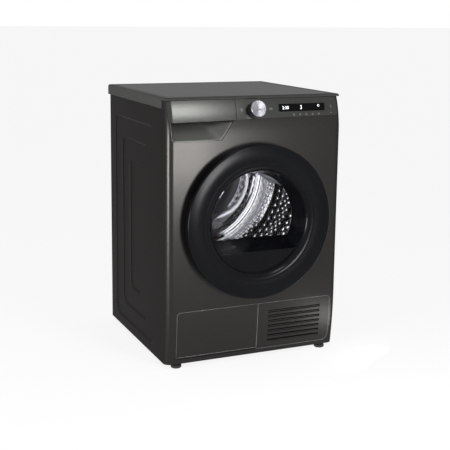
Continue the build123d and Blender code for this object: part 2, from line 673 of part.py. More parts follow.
def control_board():
    """Carrier and circuit board behind the band, with the dial's encoder."""
    left, right = DRAWER_RIGHT + 12, BAND_RIGHT - 12
    low, high = BAND_LOW + 12, FRONT_TOP - 12
    near = FRONT + 34
    board = block(left, right, near, near + 8, low, high)
    shell = block(left + 2, right - 2, near + 2, near + 9, low + 2, high - 2)
    board = board - shell
    plane = dial_frame()
    encoder = extrude(plane.offset(-ENCODER_BACK) * Circle(8), ENCODER_BACK - WALL - 3 - GAP)
    encoder = encoder - extrude(plane.offset(-ENCODER_BACK + 4) * Circle(SHAFT_RADIUS + RUN), ENCODER_BACK)
    post = block(DISPLAY_LEFT + 6, DISPLAY_LEFT + DISPLAY_WIDTH - 6, FRONT + 19, near + 1, DISPLAY_LOW + 4,
                 DISPLAY_LOW + DISPLAY_HEIGHT - 8)
    return fused([board, encoder & block(-HALF, HALF, FRONT, near + 1, 0, HEIGHT), post])


def program_dial():
    """Turned dial with a coned face, a waist behind it and its shaft."""
    plane = dial_frame()
    face = DIAL_STAND + DIAL_LENGTH
    profile = Polygon(
        (0, DIAL_STAND - 3), (DIAL_RADIUS - 5, DIAL_STAND - 3), (DIAL_RADIUS - 5, DIAL_STAND),
        (DIAL_RADIUS - 1, DIAL_STAND), (DIAL_RADIUS, DIAL_STAND + 1), (DIAL_RADIUS, face - 1.2),
        (DIAL_RADIUS - 1.2, face), (0, face - 1.5), align=None)
    knob = revolve(Plane.XZ * profile, Axis.Z)
    shaft = Pos(0, 0, -ENCODER_BACK / 2 + 4 + GAP) * Cylinder(SHAFT_RADIUS, ENCODER_BACK)
    return plane.location * (knob + shaft)


# ---- door -----------------------------------------------------------------------------
def hinge_sweep():
    """Room that the two fixed hinge arms take inside the door as it opens."""
    room = []
    for side in (-1, 1):
        z = DOOR_Z + side * (KNUCKLE_HALF + ARM_HEIGHT / 2)
        half = ARM_HEIGHT / 2 + 1.2
        arm = rod_z(PIN_X, FRONT + PIN_DEPTH, 36, z - half, z + half)
        room.append(arm & block(0, HALF, FRONT + PIN_DEPTH - 2.5, FRONT + 20, z - half, z + half))
        room.append(rod_z(PIN_X, FRONT + PIN_DEPTH, KNUCKLE + 0.8, z - half, z + half))
    return room


def ring_section():
    """Section of the door ring, in radius and Y: a shell with a broad convex front."""
    back = FRONT - DOOR_BACK
    front = FRONT - DOOR_PROUD
    edge, lip, wall = DOOR_RADIUS, LIP_RADIUS, DOOR_SHELL
    crown = edge - 34
    return make_face(Curve([
        Line((edge - wall, back), (edge, front + 6)),
        ThreePointArc((edge, front + 6), (edge - 2, front + 2.6), (edge - 6, front + 1.4)),
        ThreePointArc((edge - 6, front + 1.4), (crown, front), (lip + 24, front + 2.5)),
        ThreePointArc((lip + 24, front + 2.5), (lip + 8, front + 6.5), (lip, front + 14)),
        Polyline((lip, front + 14), (lip, back - 6), (lip + wall, back - 6), (lip + wall, front + 15.5)),
        ThreePointArc((lip + wall, front + 15.5), (lip + 10, front + 9.8), (lip + 24, front + 5.5)),
        ThreePointArc((lip + 24, front + 5.5), (crown, front + wall), (edge - 8, front + 4.4)),
        Polyline(
            (edge - 8, front + 4.4), (edge - wall, front + 9), (edge - 2 * wall, back), (edge - wall, back)),
    ]))


def grip_cutter(grow):
    """Room for the fingers behind the ring: a crescent that tapers out at the top."""
    deep = DOOR_RADIUS - GRIP_REACH
    share = sin(radians(GRIP_END))
    rise = (DOOR_RADIUS ** 2 - deep ** 2) / (2 * (DOOR_RADIUS - deep * share))
    inner = Pos(0, DOOR_Z + rise) * Circle(DOOR_RADIUS - rise - grow)
    far = 2 * DOOR_RADIUS
    end = DOOR_Z + far * tan(radians(GRIP_END)) - grow
    wedge = Polygon((0, DOOR_Z), (0, DOOR_Z + far), (-far, DOOR_Z + far), (-far, end), align=None)
    crescent = (Pos(0, DOOR_Z) * Circle(DOOR_RADIUS + 5) - inner) & wedge
    return prism(crescent, FRONT - GRIP_FRONT - grow, FRONT + 1)


def door_ring():
    """Broad convex ring with a finger grip scooped behind its upper left rim."""
    ring = Pos(0, 0, DOOR_Z) * revolve(ring_section(), Axis.Y)
    core = turned(
        0, DOOR_Z,
        (LIP_RADIUS + 30, FRONT - DOOR_BACK), (LIP_RADIUS + 30, FRONT - DOOR_PROUD + 4),
        (DOOR_RADIUS - 1.5, FRONT - DOOR_PROUD + 8), (DOOR_RADIUS - 3, FRONT - DOOR_BACK))
    scoop = (grip_cutter(WALL) & core) - grip_cutter(0)
    ring = ring - grip_cutter(0)
    for room in hinge_sweep():
        ring = ring - room
    return ring + scoop


def window_outline(radius, sill):
    """Circle about the door's centre, cut level at the sill with rounded corners."""
    disc = Pos(0, DOOR_Z) * Circle(radius)
    above = Pos(0, sill + radius) * Rectangle(4 * radius, 2 * radius)
    face = disc & above
    return fillet(face.vertices(), SILL_CORNER)


def surround_form(grow):
    """Tapered well from the ring's lip back to the window."""
    mouth = window_outline(LIP_RADIUS - GAP - WALL + grow, PLATE_Z - grow)
    back = window_outline(WINDOW_RADIUS + grow, SILL_Z - grow)
    near = Plane.XZ.offset(-FRONT + WELL_FRONT) * mouth
    far = Plane.XZ.offset(-FRONT - WINDOW_DEPTH) * back
    return loft([near, far])


def window_surround():
    """Dark well of the door: rim, sloping ledge and the upright plate under it."""
    well = surround_form(WALL) - surround_form(0)
    rim_radius = LIP_RADIUS - GAP
    near = FRONT - WELL_FRONT
    plate = rod_y(0, DOOR_Z, rim_radius, FRONT + PLATE_DEPTH, FRONT + PLATE_DEPTH + WALL)
    plate = plate - surround_form(WALL / 2)
    plate = plate & block(-HALF, HALF, near, FRONT, 0, PLATE_Z + 40)
    rim = tube_y(0, DOOR_Z, rim_radius, rim_radius - WALL, near, FRONT + PLATE_DEPTH + 8)
    return well + (rim - surround_form(WALL / 2)) + plate


def window_glass():
    """Pane behind the well."""
    near = FRONT + WINDOW_DEPTH + GAP
    pane = prism(window_outline(WINDOW_RADIUS + 7, SILL_Z - 7), near, near + GLASS)
    return chamfer(pane.edges().group_by(Axis.Y)[-1], 1.0)


def door_back():
    """Inner face of the door: a flat rim and a tapered plug that holds the pane."""
    back = FRONT - DOOR_BACK
    plug = MOUTH_RADIUS - PLUG_GAP
    end = WINDOW_RADIUS + 13
    deep = FRONT + WINDOW_DEPTH + 2 * GAP + GLASS
    shell = turned(
        0, DOOR_Z,
        (DOOR_RADIUS - 2 * DOOR_SHELL - GAP, back - WALL), (DOOR_RADIUS - 2 * DOOR_SHELL - GAP, back),
        (plug, back), (end, deep), (end, deep + WALL), (end - 6, deep + WALL), (end - 6, deep),
        (end - WALL, deep), (plug - WALL, back - WALL))
    sill = prism(
        (Pos(0, DOOR_Z) * Circle(end - 4)) - window_outline(WINDOW_RADIUS + 3, SILL_Z - 3), deep, deep + WALL)
    shell = shell + sill
    shell = shell - grip_cutter(WALL + GAP)
    for room in hinge_sweep():
        shell = shell - room
    return shell


def hinge_arm():
    """Door side of the hinge: knuckle, its pin and the strap screwed behind the ring."""
    y = FRONT + PIN_DEPTH
    knuckle = rod_z(PIN_X, y, KNUCKLE, DOOR_Z - KNUCKLE_HALF, DOOR_Z + KNUCKLE_HALF)
    reach = KNUCKLE_HALF + ARM_HEIGHT
    pin = rod_z(PIN_X, y, PIN_RADIUS, DOOR_Z - reach, DOOR_Z + reach)
    strap = block(PIN_X - STRAP, PIN_X, y - 2, y + 2, DOOR_Z - KNUCKLE_HALF + 2, DOOR_Z + KNUCKLE_HALF - 2)
    foot = block(
        PIN_X - STRAP, PIN_X - STRAP + 8, y - 2, FRONT - DOOR_BACK - WALL,
        DOOR_Z - KNUCKLE_HALF + 2, DOOR_Z + KNUCKLE_HALF - 2)
    return knuckle + pin + strap + foot


def hinge_bracket():
    """Case side of the hinge: a plate on the front panel with two curved-back arms."""
    pin_y = FRONT + PIN_DEPTH
    left, right = BRACKET_LEFT, BRACKET_LEFT + BRACKET_WIDTH
    plate = block(left, right, FRONT - WALL, FRONT, DOOR_Z - BRACKET_HALF, DOOR_Z + BRACKET_HALF)
    plate = fillet(plate.edges().filter_by(Axis.Y), 4)
    half = ARM_THICK / 2
    profile = Polygon(
        (left + 1, FRONT - WALL / 2), (right - 1, FRONT - WALL / 2),
        (PIN_X + 0.8 * half, pin_y + 0.6 * half), (PIN_X - 0.8 * half, pin_y - 0.6 * half), align=None)
    profile = profile + Pos(PIN_X, pin_y) * Circle(KNUCKLE)
    pieces = [plate]
    for low in (DOOR_Z - KNUCKLE_HALF - ARM_HEIGHT, DOOR_Z + KNUCKLE_HALF + GAP):
        arm = raised(profile, low, low + ARM_HEIGHT - GAP)
        arm = arm - rod_z(PIN_X, pin_y, PIN_RADIUS + RUN, low - 1, low + ARM_HEIGHT + 1)
        pieces.append(arm)
    return fused(pieces)


def door_latch():
    """Hook on the back of the door."""
    back = FRONT - DOOR_BACK
    hook = Polygon(
        (-LATCH_X - 2, back), (-LATCH_X + 4, back), (-LATCH_X + 4, FRONT + 12), (-LATCH_X, FRONT + 17),
        (-LATCH_X - 4, FRONT + 11), (-LATCH_X - 2, FRONT + 9), align=None)
    return raised(hook, DOOR_Z - 6, DOOR_Z + 6)


def door_catch():
    """Latch housing behind the front panel."""
    near = FRONT + SHEET
    left, right = -LATCH_X - 16, -LATCH_X + 11
    case = block(left, right, near, near + 26, DOOR_Z - 30, DOOR_Z + 30)
    case = fillet(case.edges().filter_by(Axis.Y), 3)
    hollow = block(left + 4, right - 3, near - 1, near + 22, DOOR_Z - 12, DOOR_Z + 12)
    return case - hollow


def door_seal():
    """Rubber lip round the mouth that the closed door rests on."""
    inner = MOUTH_RADIUS + SHEET + 0.5
    return turned(
        0, DOOR_Z, (inner, FRONT), (inner, FRONT - 1.5), (inner + 4, FRONT - SEAL_PROUD),
        (inner + 7, FRONT - SEAL_PROUD), (inner + 11, FRONT - 1.5), (inner + 11, FRONT))


# ---- bulkheads and drum ---------------------------------------------------------------
def bulkhead_outline(half, margin=0.0):
    """Round head over the drum on a square shoulder."""
    head = Pos(0, DRUM_Z) * Circle(BULKHEAD_HEAD - margin)
    tall = BULKHEAD_HIGH - BULKHEAD_LOW - 2 * margin
    middle = (BULKHEAD_HIGH + BULKHEAD_LOW) / 2
    return head + Pos(0, middle) * Rectangle(2 * (half - margin), tall)


def collar(y0, y1):
    """Bearing collar that stands into the drum's rim."""
    return tube_y(0, DRUM_Z, COLLAR_RADIUS, COLLAR_RADIUS - WALL, y0, y1)


def filter_chute(margin):
    """Pocket for the lint filter under the mouth, larger by margin."""
    return block(
        -FILTER_HALF - margin, FILTER_HALF + margin, FRONT + FILTER_FRONT - margin,
        FRONT + FILTER_FRONT + FILTER_THICK + margin, FILTER_LOW - 4, DOOR_Z)


def front_bulkhead():
    """Moulded mouth: throat from the front panel, plate, drum collar and filter chute."""
    near = FRONT + BULKHEAD_DEPTH
    half = HALF - SHEET - GAP
    plate = prism(bulkhead_outline(half), near, near + WALL)
    edge = prism(bulkhead_outline(half) - bulkhead_outline(half, WALL), near - 12, near)
    mouth = MOUTH_RADIUS - THROAT_TAPER
    start = FRONT + 11
    inside = turned(0, DOOR_Z, (0, start), (MOUTH_RADIUS - 4, start), (mouth, near + WALL), (0, near + WALL))
    throat = turned(
        0, DOOR_Z, (MOUTH_RADIUS - 4, start), (MOUTH_RADIUS - 4 + WALL, start),
        (mouth + WALL, near), (mouth, near + WALL))
    chute = filter_chute(WALL) - inside
    body = (plate - inside) + edge + throat + collar(near + WALL, FRONT + DRUM_FRONT + 16)
    body = body + (chute & block(-HALF, HALF, FRONT, near, 0, HEIGHT))
    return body - filter_chute(GAP) - block(
        -FILTER_HALF - GAP, FILTER_HALF + GAP, FRONT + FILTER_FRONT - GAP,
        FRONT + FILTER_FRONT + FILTER_THICK + GAP, FILTER_LOW - 10, FILTER_LOW)


def rear_bulkhead():
    """Pressed rear wall of the drum space: concentric steps and a perforated centre."""
    near = FRONT + REAR_BULKHEAD_DEPTH
    half = HALF - SHEET - GAP - TERRACE_DEPTH
    plate = prism(bulkhead_outline(half), near, near + SHEET)
    edge = prism(bulkhead_outline(half) - bulkhead_outline(half, SHEET), near, near + 12)
    plate = plate - rod_y(0, DRUM_Z, RING_OUTER, near - 1, near + 2)
    front = [(RING_OUTER - inset, near + step) for inset, step in RING_STEPS]
    front.append((0, front[-1][1]))
    back = [(radius, y + SHEET) for radius, y in reversed(front)]
    rings = turned(0, DRUM_Z, *front, *back)
    for row in range(ROW_COUNT):
        radius = PERFORATION_FIRST + row * PERFORATION_PITCH
        for place in PolarLocations(radius, PERFORATION_COUNT * (row + 1)):
            rings = rings - prism(Pos(0, DRUM_Z) * place * Circle(PERFORATION_RADIUS), near - 20, near + 5)
    return plate + edge + rings + collar(FRONT + DRUM_BACK - 16, near)


def drum_felt_seals():
    """Felt sliding rings between the collars and the drum's rims."""
    outer = DRUM_RADIUS - DRUM_LIP - GAP
    front = tube_y(0, DRUM_Z, outer, COLLAR_RADIUS, FRONT + DRUM_FRONT + 2, FRONT + DRUM_FRONT + 14)
    rear = tube_y(0, DRUM_Z, outer, COLLAR_RADIUS, FRONT + DRUM_BACK - 14, FRONT + DRUM_BACK - 2)
    return [front, rear]


def drum_shell():
    """Rolled drum: plain running bands, two beads beside the belt and rolled rims."""
    f, b = FRONT + DRUM_FRONT, FRONT + DRUM_BACK
    lip, rim = DRUM_RADIUS - DRUM_LIP, 16.0
    outer = [(DRUM_RADIUS, f)]
    for depth in BEAD_DEPTHS:
        y = FRONT + depth
        outer += [(DRUM_RADIUS, y - 6), (DRUM_RADIUS - BEAD, y), (DRUM_RADIUS, y + 6)]
    skin = lip + DRUM_WALL
    outer += [(DRUM_RADIUS, b), (lip, b), (lip, b - rim), (skin, b - rim), (skin, b - DRUM_WALL)]
    inner = DRUM_RADIUS - DRUM_WALL
    outer += [(inner, b - DRUM_WALL)]
    for depth in reversed(BEAD_DEPTHS):
        y = FRONT + depth
        outer += [(inner, y + 6), (inner - BEAD, y), (inner, y - 6)]
    outer += [(inner, f + DRUM_WALL), (skin, f + DRUM_WALL), (skin, f + rim), (lip, f + rim), (lip, f)]
    return turned(0, DRUM_Z, *outer)


def drum_lifters():
    """Three hollow-backed paddles that carry the laundry up."""
    inner = DRUM_RADIUS - DRUM_WALL
    tip = inner - LIFTER_HEIGHT
    half = LIFTER_WIDTH / 2
    profile = outline((-half, inner - 4, 0), (-half, inner + 9, 0), (half, inner + 9, 0),
                      (half, inner - 4, 0), (6, tip, 5), (-6, tip, 5))
    profile = profile & Circle(inner)
    paddle = prism(profile, FRONT + DRUM_FRONT + 30, FRONT + DRUM_BACK - 30)
    for depth in BEAD_DEPTHS:
        y = FRONT + depth
        paddle = paddle - turned(0, 0, (inner + 1, y - 6), (inner, y - 6), (inner - BEAD, y), (inner, y + 6),
                                 (inner + 1, y + 6))
    turns = [LIFTER_START + index * 360 / LIFTER_COUNT for index in range(LIFTER_COUNT)]
    return [Pos(0, 0, DRUM_Z) * Rot(0, -turn, 0) * paddle for turn in turns]


def roller_places():
    """Name, X, Z and first depth of each support roller."""
    reach = DRUM_RADIUS + GAP + ROLLER_RADIUS
    x = reach * sin(radians(ROLLER_ANGLE))
    z = DRUM_Z - reach * cos(radians(ROLLER_ANGLE))
    return [
        ("front_left_roller", -x, z, FRONT_ROLLER_DEPTH),
        ("front_right_roller", x, z, FRONT_ROLLER_DEPTH),
        ("rear_left_roller", -x, z, REAR_ROLLER_DEPTH),
        ("rear_right_roller", x, z, REAR_ROLLER_DEPTH),
    ]


def support_roller(x, z, depth):
    """Roller with a rubber tread, a dished web and a hub."""
    y = FRONT + depth
    bore, hub, r, w = AXLE_RADIUS + RUN, AXLE_RADIUS + 5, ROLLER_RADIUS, ROLLER_WIDTH
    return turned(
        x, z, (bore, y), (hub, y), (hub, y + 7), (r - 8, y + 7), (r - 8, y), (r - 1, y), (r, y + 1),
        (r, y + w - 1), (r - 1, y + w), (r - 8, y + w), (r - 8, y + w - 7), (hub, y + w - 7), (hub, y + w),
        (bore, y + w))


def roller_axles():
    """Stub axles on the two bulkheads and the idler's on the motor's arm, each with a retaining head."""
    axles = []
    for name, x, z, depth in roller_places():
        y = FRONT + depth
        if depth < CASE_DEPTH / 2:
            axle = rod_y(x, z, AXLE_RADIUS, FRONT + BULKHEAD_DEPTH + WALL, y + ROLLER_WIDTH + 3)
            head = rod_y(x, z, AXLE_RADIUS + 3, y + ROLLER_WIDTH + GAP, y + ROLLER_WIDTH + 3)
        else:
            axle = rod_y(x, z, AXLE_RADIUS, y - 3, FRONT + REAR_BULKHEAD_DEPTH)
            head = rod_y(x, z, AXLE_RADIUS + 3, y - 3, y - GAP)
        axles.append(axle + head)
    belt = FRONT + BELT_DEPTH
    stub = rod_y(IDLER_X, MOTOR_Z, IDLER_AXLE, belt - 3, FRONT + ARM_DEPTH)
    axles.append(stub + rod_y(IDLER_X, MOTOR_Z, IDLER_AXLE + 2, belt - 5, belt - 2 - GAP))
    return axles


# ---- drive ----------------------------------------------------------------------------
def motor_stator():
    """Motor body with end shields, its two legs and the arm for the idler."""
    y0, y1 = FRONT + MOTOR_FRONT, FRONT + MOTOR_FRONT + MOTOR_LENGTH
    bore, r = MOTOR_SHAFT + RUN, MOTOR_RADIUS
    body = turned(
        MOTOR_X, MOTOR_Z, (bore, y0), (18, y0), (22, y0 + 6), (r - 8, y0 + 8), (r, y0 + 18), (r, y1 - 18),
        (r - 8, y1 - 8), (22, y1 - 6), (18, y1), (bore, y1))
    floor = FOOT_LIFT + BASE_WALL
    pieces = [body]
    for y in (y0 + 24, y1 - 36):
        leg = block(MOTOR_X - 34, MOTOR_X + 34, y, y + 12, floor, MOTOR_Z - 30)
        arch = block(MOTOR_X - 22, MOTOR_X + 22, y - 1, y + 13, floor, MOTOR_Z - r - 10)
        pieces.append(leg - arch)
    arm_y = FRONT + ARM_DEPTH
    arm = block(IDLER_X - 7, MOTOR_X - 18, arm_y, arm_y + 6, MOTOR_Z - 7, MOTOR_Z + 7)
    post = block(MOTOR_X - 30, MOTOR_X - 18, arm_y, y0 + 12, MOTOR_Z - 7, MOTOR_Z + 7)
    return fused(pieces + [arm, post])


def motor_rotor():
    """Shaft with the belt pulley at its front and the blower's seat at its back."""
    y0, y1 = FRONT + BELT_DEPTH - 2, FRONT + BELT_DEPTH + BELT_WIDTH + 2
    shaft = rod_y(MOTOR_X, MOTOR_Z, MOTOR_SHAFT, y0 - 6, FRONT + BLOWER_DEPTH + BLOWER_LENGTH - 6)
    r = PULLEY_RADIUS
    pulley = turned(
        MOTOR_X, MOTOR_Z,
        (0, y0), (r + 3, y0), (r + 3, y0 + 1), (r, y0 + 1.5), (r, y1 - 1.5), (r + 3, y1 - 1),
        (r + 3, y1), (0, y1))
    return shaft + pulley


def idler_pulley():
    """Belt tensioner wheel."""
    y0, y1 = FRONT + BELT_DEPTH - 2, FRONT + BELT_DEPTH + BELT_WIDTH + 2
    r, bore = IDLER_RADIUS, IDLER_AXLE + RUN
    return turned(
        IDLER_X, MOTOR_Z, (bore, y0), (r + 3, y0), (r + 3, y0 + 1), (r, y0 + 1.5), (r, y1 - 1.5),
        (r + 3, y1 - 1), (r + 3, y1), (bore, y1))


def belt_loop(grow):
    """Outline of the belt's run round the drum, the pulley and the idler."""
    wheels = (
        Pos(0, DRUM_Z) * Circle(DRUM_RADIUS + GAP + grow),
        Pos(MOTOR_X, MOTOR_Z) * Circle(PULLEY_RADIUS + GAP + grow),
        Pos(IDLER_X, MOTOR_Z) * Circle(IDLER_RADIUS + GAP + grow),
    )
    return make_hull([edge for wheel in wheels for edge in wheel.edges()])


def drive_belt():
    """Flat belt round the drum."""
    return prism(belt_loop(BELT_THICK) - belt_loop(0), FRONT + BELT_DEPTH, FRONT + BELT_DEPTH + BELT_WIDTH)


def blower_housing():
    """Volute round the process fan, its inlet box and the nozzle to the rear duct."""
    y0, y1 = FRONT + BLOWER_DEPTH, FRONT + BLOWER_DEPTH + BLOWER_LENGTH + WALL
    r = BLOWER_RADIUS + 9
    volute = rod_y(MOTOR_X, MOTOR_Z, r + WALL, y0 - WALL, y1) - rod_y(MOTOR_X, MOTOR_Z, r, y0, y1 - WALL)
    volute = volute - rod_y(MOTOR_X, MOTOR_Z, BLOWER_RADIUS - 20, y0 - WALL - 1, y0 + 1)
    plenum_y = FRONT + PLENUM_DEPTH
    right = MOTOR_X + BLOWER_RADIUS
    high = DUCT_TOP - 8
    plenum = block(DUCT_RIGHT, right, plenum_y, y0 - WALL, PLENUM_LOW, MOTOR_Z + 46)
    plenum = plenum - block(
        DUCT_RIGHT - 1, right - WALL, plenum_y + WALL, y0 - WALL + 1, PLENUM_LOW + WALL, MOTOR_Z + 46 - WALL)
    plenum = plenum + block(DUCT_RIGHT, DUCT_RIGHT + WALL, plenum_y, y0 - WALL, high, MOTOR_Z + 46)
    plenum = plenum - rod_y(MOTOR_X, MOTOR_Z, MOTOR_SHAFT + 1, plenum_y - 1, plenum_y + WALL + 1)
    nozzle = block(NOZZLE_LEFT, NOZZLE_RIGHT, y1 - WALL, REAR, NOZZLE_LOW, NOZZLE_HIGH)
    hole = block(
        NOZZLE_LEFT + WALL, NOZZLE_RIGHT - WALL, y1 - WALL - 1, REAR + 1,
        NOZZLE_LOW + WALL, NOZZLE_HIGH - WALL)
    return volute + plenum + nozzle - hole


def blower_fan():
    """Radial fan: back plate, forward blades and a shroud ring on the motor shaft."""
    y0, y1 = FRONT + BLOWER_DEPTH + 4, FRONT + BLOWER_DEPTH + BLOWER_LENGTH - 4
    hub = tube_y(MOTOR_X, MOTOR_Z, MOTOR_SHAFT + 6, MOTOR_SHAFT, y1 - 18, y1)
    plate = tube_y(MOTOR_X, MOTOR_Z, BLOWER_RADIUS, MOTOR_SHAFT, y1 - 3, y1)
    ring = tube_y(MOTOR_X, MOTOR_Z, BLOWER_RADIUS, BLOWER_RADIUS - 9, y0, y0 + 2)
    blade = Pos(BLOWER_RADIUS - 8.5, (y0 + y1) / 2, 0) * Rot(0, 28, 0) * Box(13, y1 - y0 - 2, 1.4)
    blades = [
        Pos(MOTOR_X, 0, MOTOR_Z) * Rot(0, index * 360 / BLADE_COUNT, 0) * blade
        for index in range(BLADE_COUNT)]
    return fused([hub + plate + ring] + blades)


# ---- heat pump and services -----------------------------------------------------------
def compressor():
    """Domed compressor can on a three-legged plate with rubber grommets."""
    x, y = COMPRESSOR_X, FRONT + COMPRESSOR_DEPTH
    low = FOOT_LIFT + BASE_WALL
    seat, r = low + 8, COMPRESSOR_RADIUS
    profile = outline((0, seat, 0), (r - 6, seat, 0), (r, seat + 12, 6), (r, low + COMPRESSOR_HEIGHT, 26),
                      (0, low + COMPRESSOR_HEIGHT, 0))
    can = Pos(x, y, 0) * revolve(Plane.XZ * profile, Axis.Z)
    seam = Pos(x, y, seat + 84) * (Cylinder(r + 2, 5) - Cylinder(r - 2, 6))
    pieces = [can, seam]
    grommets = []
    for turn in (90, 210, 330):
        leg_x = x + (r - 2) * cos(radians(turn)) * 1.02
        leg_y = y + (r - 2) * sin(radians(turn)) * 1.02
        pieces.append(Pos(leg_x, leg_y, seat + 2) * Box(22, 22, 4))
        grommets.append(Pos(leg_x, leg_y, (low + seat) / 2) * Cylinder(8, seat - low))
    return [fused(pieces)] + grommets


def fin_pack(y0, y1):
    """Finned exchanger pack: upright fins between two header plates, open front to back."""
    left, right = DUCT_LEFT + BASE_WALL + 2, DUCT_RIGHT - BASE_WALL - 2
    low, high = FOOT_LIFT + BASE_WALL + 6, DUCT_TOP - BASE_WALL - 8
    pack = block(left, right, y0, y1, low, high)
    count = int((right - left - FIN_PITCH) / FIN_PITCH)
    margin = (right - left - count * FIN_PITCH + FIN) / 2
    for index in range(count):
        x = left + margin + index * FIN_PITCH
        pack = pack - block(x, x + FIN_PITCH - FIN, y0 - 1, y1 + 1, low + 5, high - 5)
    return pack


def heat_exchangers():
    """Evaporator in front and condenser behind it."""
    return [
        fin_pack(FRONT + EVAPORATOR_DEPTH, FRONT + EVAPORATOR_DEPTH + 110),
        fin_pack(FRONT + CONDENSER_DEPTH, FRONT + CONDENSER_DEPTH + 120),
    ]


def pipe_run(points, radius, bends):
    """Round pipe or hose along straight runs joined by tangent arcs."""
    path = FilletPolyline(*points, radius=bends)
    start = Plane(origin=path @ 0, z_dir=path % 0)
    return sweep(start * Circle(radius), path=path)


def refrigerant_pipes():
    """Suction pipe from the evaporator and discharge pipe to the condenser."""
    x, y = COMPRESSOR_X, FRONT + COMPRESSOR_DEPTH
    suction = pipe_run(
        ((x, y - COMPRESSOR_RADIUS, 118), (x, FRONT + 190, 118), (DUCT_RIGHT, FRONT + 190, 118)),
        PIPE_RADIUS, 32)
    discharge = pipe_run(
        ((x - COMPRESSOR_RADIUS, y - 14, 70), (MOTOR_X, y - 14, 70), (MOTOR_X - 60, y - 14, 96),
         (DUCT_RIGHT, y - 14, 96)), PIPE_RADIUS, 24)
    can = rod_z(x, y, COMPRESSOR_RADIUS, 0, HEIGHT)
    return [suction - can, discharge - can]


def fan_shroud():
    """Upright panel with the cooling fan's ring and motor spider."""
    y0 = FRONT + FAN_DEPTH
    low = FOOT_LIFT + BASE_WALL
    panel = block(FAN_X - FAN_RADIUS - 14, FAN_X + FAN_RADIUS + 14, y0, y0 + 3, low, FAN_Z + FAN_RADIUS + 14)
    panel = fillet(panel.edges().filter_by(Axis.Y), 6)
    ring = rod_y(FAN_X, FAN_Z, FAN_RADIUS + 5, y0, y0 + FAN_LENGTH + 6)
    body = panel + ring - rod_y(FAN_X, FAN_Z, FAN_RADIUS + 2, y0 - 1, y0 + FAN_LENGTH + 7)
    back = y0 + FAN_LENGTH + 3
    motor = rod_y(FAN_X, FAN_Z, 16, back - 3, back + 16)
    arms = [
        Pos(FAN_X, back + 1.5, FAN_Z) * Rot(0, 45 + index * 90, 0) * Pos(30, 0, 0) * Box(40, 3, 5)
        for index in range(4)]
    body = fused([body, motor] + arms)
    return body - rod_y(FAN_X, FAN_Z, SHAFT_RADIUS + RUN, back - 4, back + 10)


def cooling_fan():
    """Axial fan: cupped hub, raked blades and shaft."""
    y0 = FRONT + FAN_DEPTH + 3
    back = FRONT + FAN_DEPTH + FAN_LENGTH + 3
    hub = rod_y(FAN_X, FAN_Z, 17, y0, y0 + FAN_LENGTH - 8)
    shaft = rod_y(FAN_X, FAN_Z, SHAFT_RADIUS, y0 + 4, back + 9)
    reach = FAN_RADIUS - 16
    blade = Pos(16 + reach / 2, y0 + 8, 0) * Rot(32, 0, 0) * Box(reach, 1.6, 20)
    blade = blade & rod_y(0, 0, FAN_RADIUS, y0, y0 + 17)
    blades = [Pos(FAN_X, 0, FAN_Z) * Rot(0, index * 360 / 7, 0) * blade for index in range(7)]
    return fused([hub + shaft] + blades)


def condensate_pump():
    """Sump pump with its outlet and the hose that climbs to the tank."""
    low = FOOT_LIFT + BASE_WALL
    y0 = FRONT + PUMP_DEPTH
    body = block(OUTLET_X - 26, OUTLET_X + 34, y0, y0 + PUMP_LENGTH, low, low + 46)
    body = fillet(body.edges().filter_by(Axis.Z), 8)
    motor = rod_z(OUTLET_X + 12, y0 + PUMP_LENGTH / 2, 20, low + 46, low + 74)
    outlet = rod_y(OUTLET_X, OUTLET_Z, OUTLET_NECK, y0 + PUMP_LENGTH - 2, REAR + SHEET)
    outlet = outlet + rod_y(OUTLET_X, OUTLET_Z, OUTLET_RADIUS, REAR, REAR + SHEET + OUTLET_LENGTH)
    outlet = outlet - rod_y(OUTLET_X, OUTLET_Z, OUTLET_RADIUS - 2.5, REAR - 20, REAR + 60)
    x, y = OUTLET_X - 14, y0 + PUMP_LENGTH - 10
    hose_x, shelf_z = -HALF + 34, (TANK_LOW + TANK_TOP) / 2 + 10
    hose = pipe_run(
        ((x, y, low + 46), (x, y, 130), (hose_x, y, 190), (hose_x, y, shelf_z),
         (hose_x, FRONT + TANK_BACK + 4, shelf_z)), HOSE_RADIUS, 24)
    return [body + motor + outlet, hose]


def main_board():
    """Housing of the power board in the upper right corner."""
    left, right = HALF - 76, HALF - SHEET - TERRACE_DEPTH - GAP
    high = HEIGHT - LIP_HEIGHT - 0.5 - SHEET - GAP
    box = block(left, right, FRONT + 130, FRONT + 310, high - 68, high)
    box = fillet(box.edges().filter_by(Axis.Y), 5)
    for index in range(8):
        first = FRONT + 150 + index * 18
        box = box - block(left - 1, left + 2, first, first + 8, high - 56, high - 14)
    return box


def mains_inlet():
    """Cable entry block of the rear panel."""
    half, tall = INLET_WIDTH / 2, INLET_HEIGHT / 2
    body = block(INLET_X - half, INLET_X + half, REAR - 22, REAR + SHEET, INLET_Z - tall, INLET_Z + tall)
    flange = block(
        INLET_X - half - 6, INLET_X + half + 6, REAR + SHEET, REAR + SHEET + 3, INLET_Z - tall - 6,
        INLET_Z + tall + 6)
    entry = rod_y(INLET_X, INLET_Z, 5, REAR - 10, REAR + 10)
    return body + fillet(flange.edges().filter_by(Axis.Y), 4) - entry


# ---- water tank drawer ----------------------------------------------------------------
def tank_section(grow):
    """Section of the tank: flat top, arched underside that follows the drum."""
    right = TANK_LEFT + TANK_WIDTH
    body = outline(
        (TANK_LEFT - grow, TANK_LOW - grow, 6), (right + grow, TANK_LOW - grow, 0),
        (right + grow, TANK_TOP + grow, 4), (TANK_LEFT - grow, TANK_TOP + grow, 6))
    return body - Pos(0, DRUM_Z) * Circle(DRUM_RADIUS + TANK_DRUM_GAP - grow)


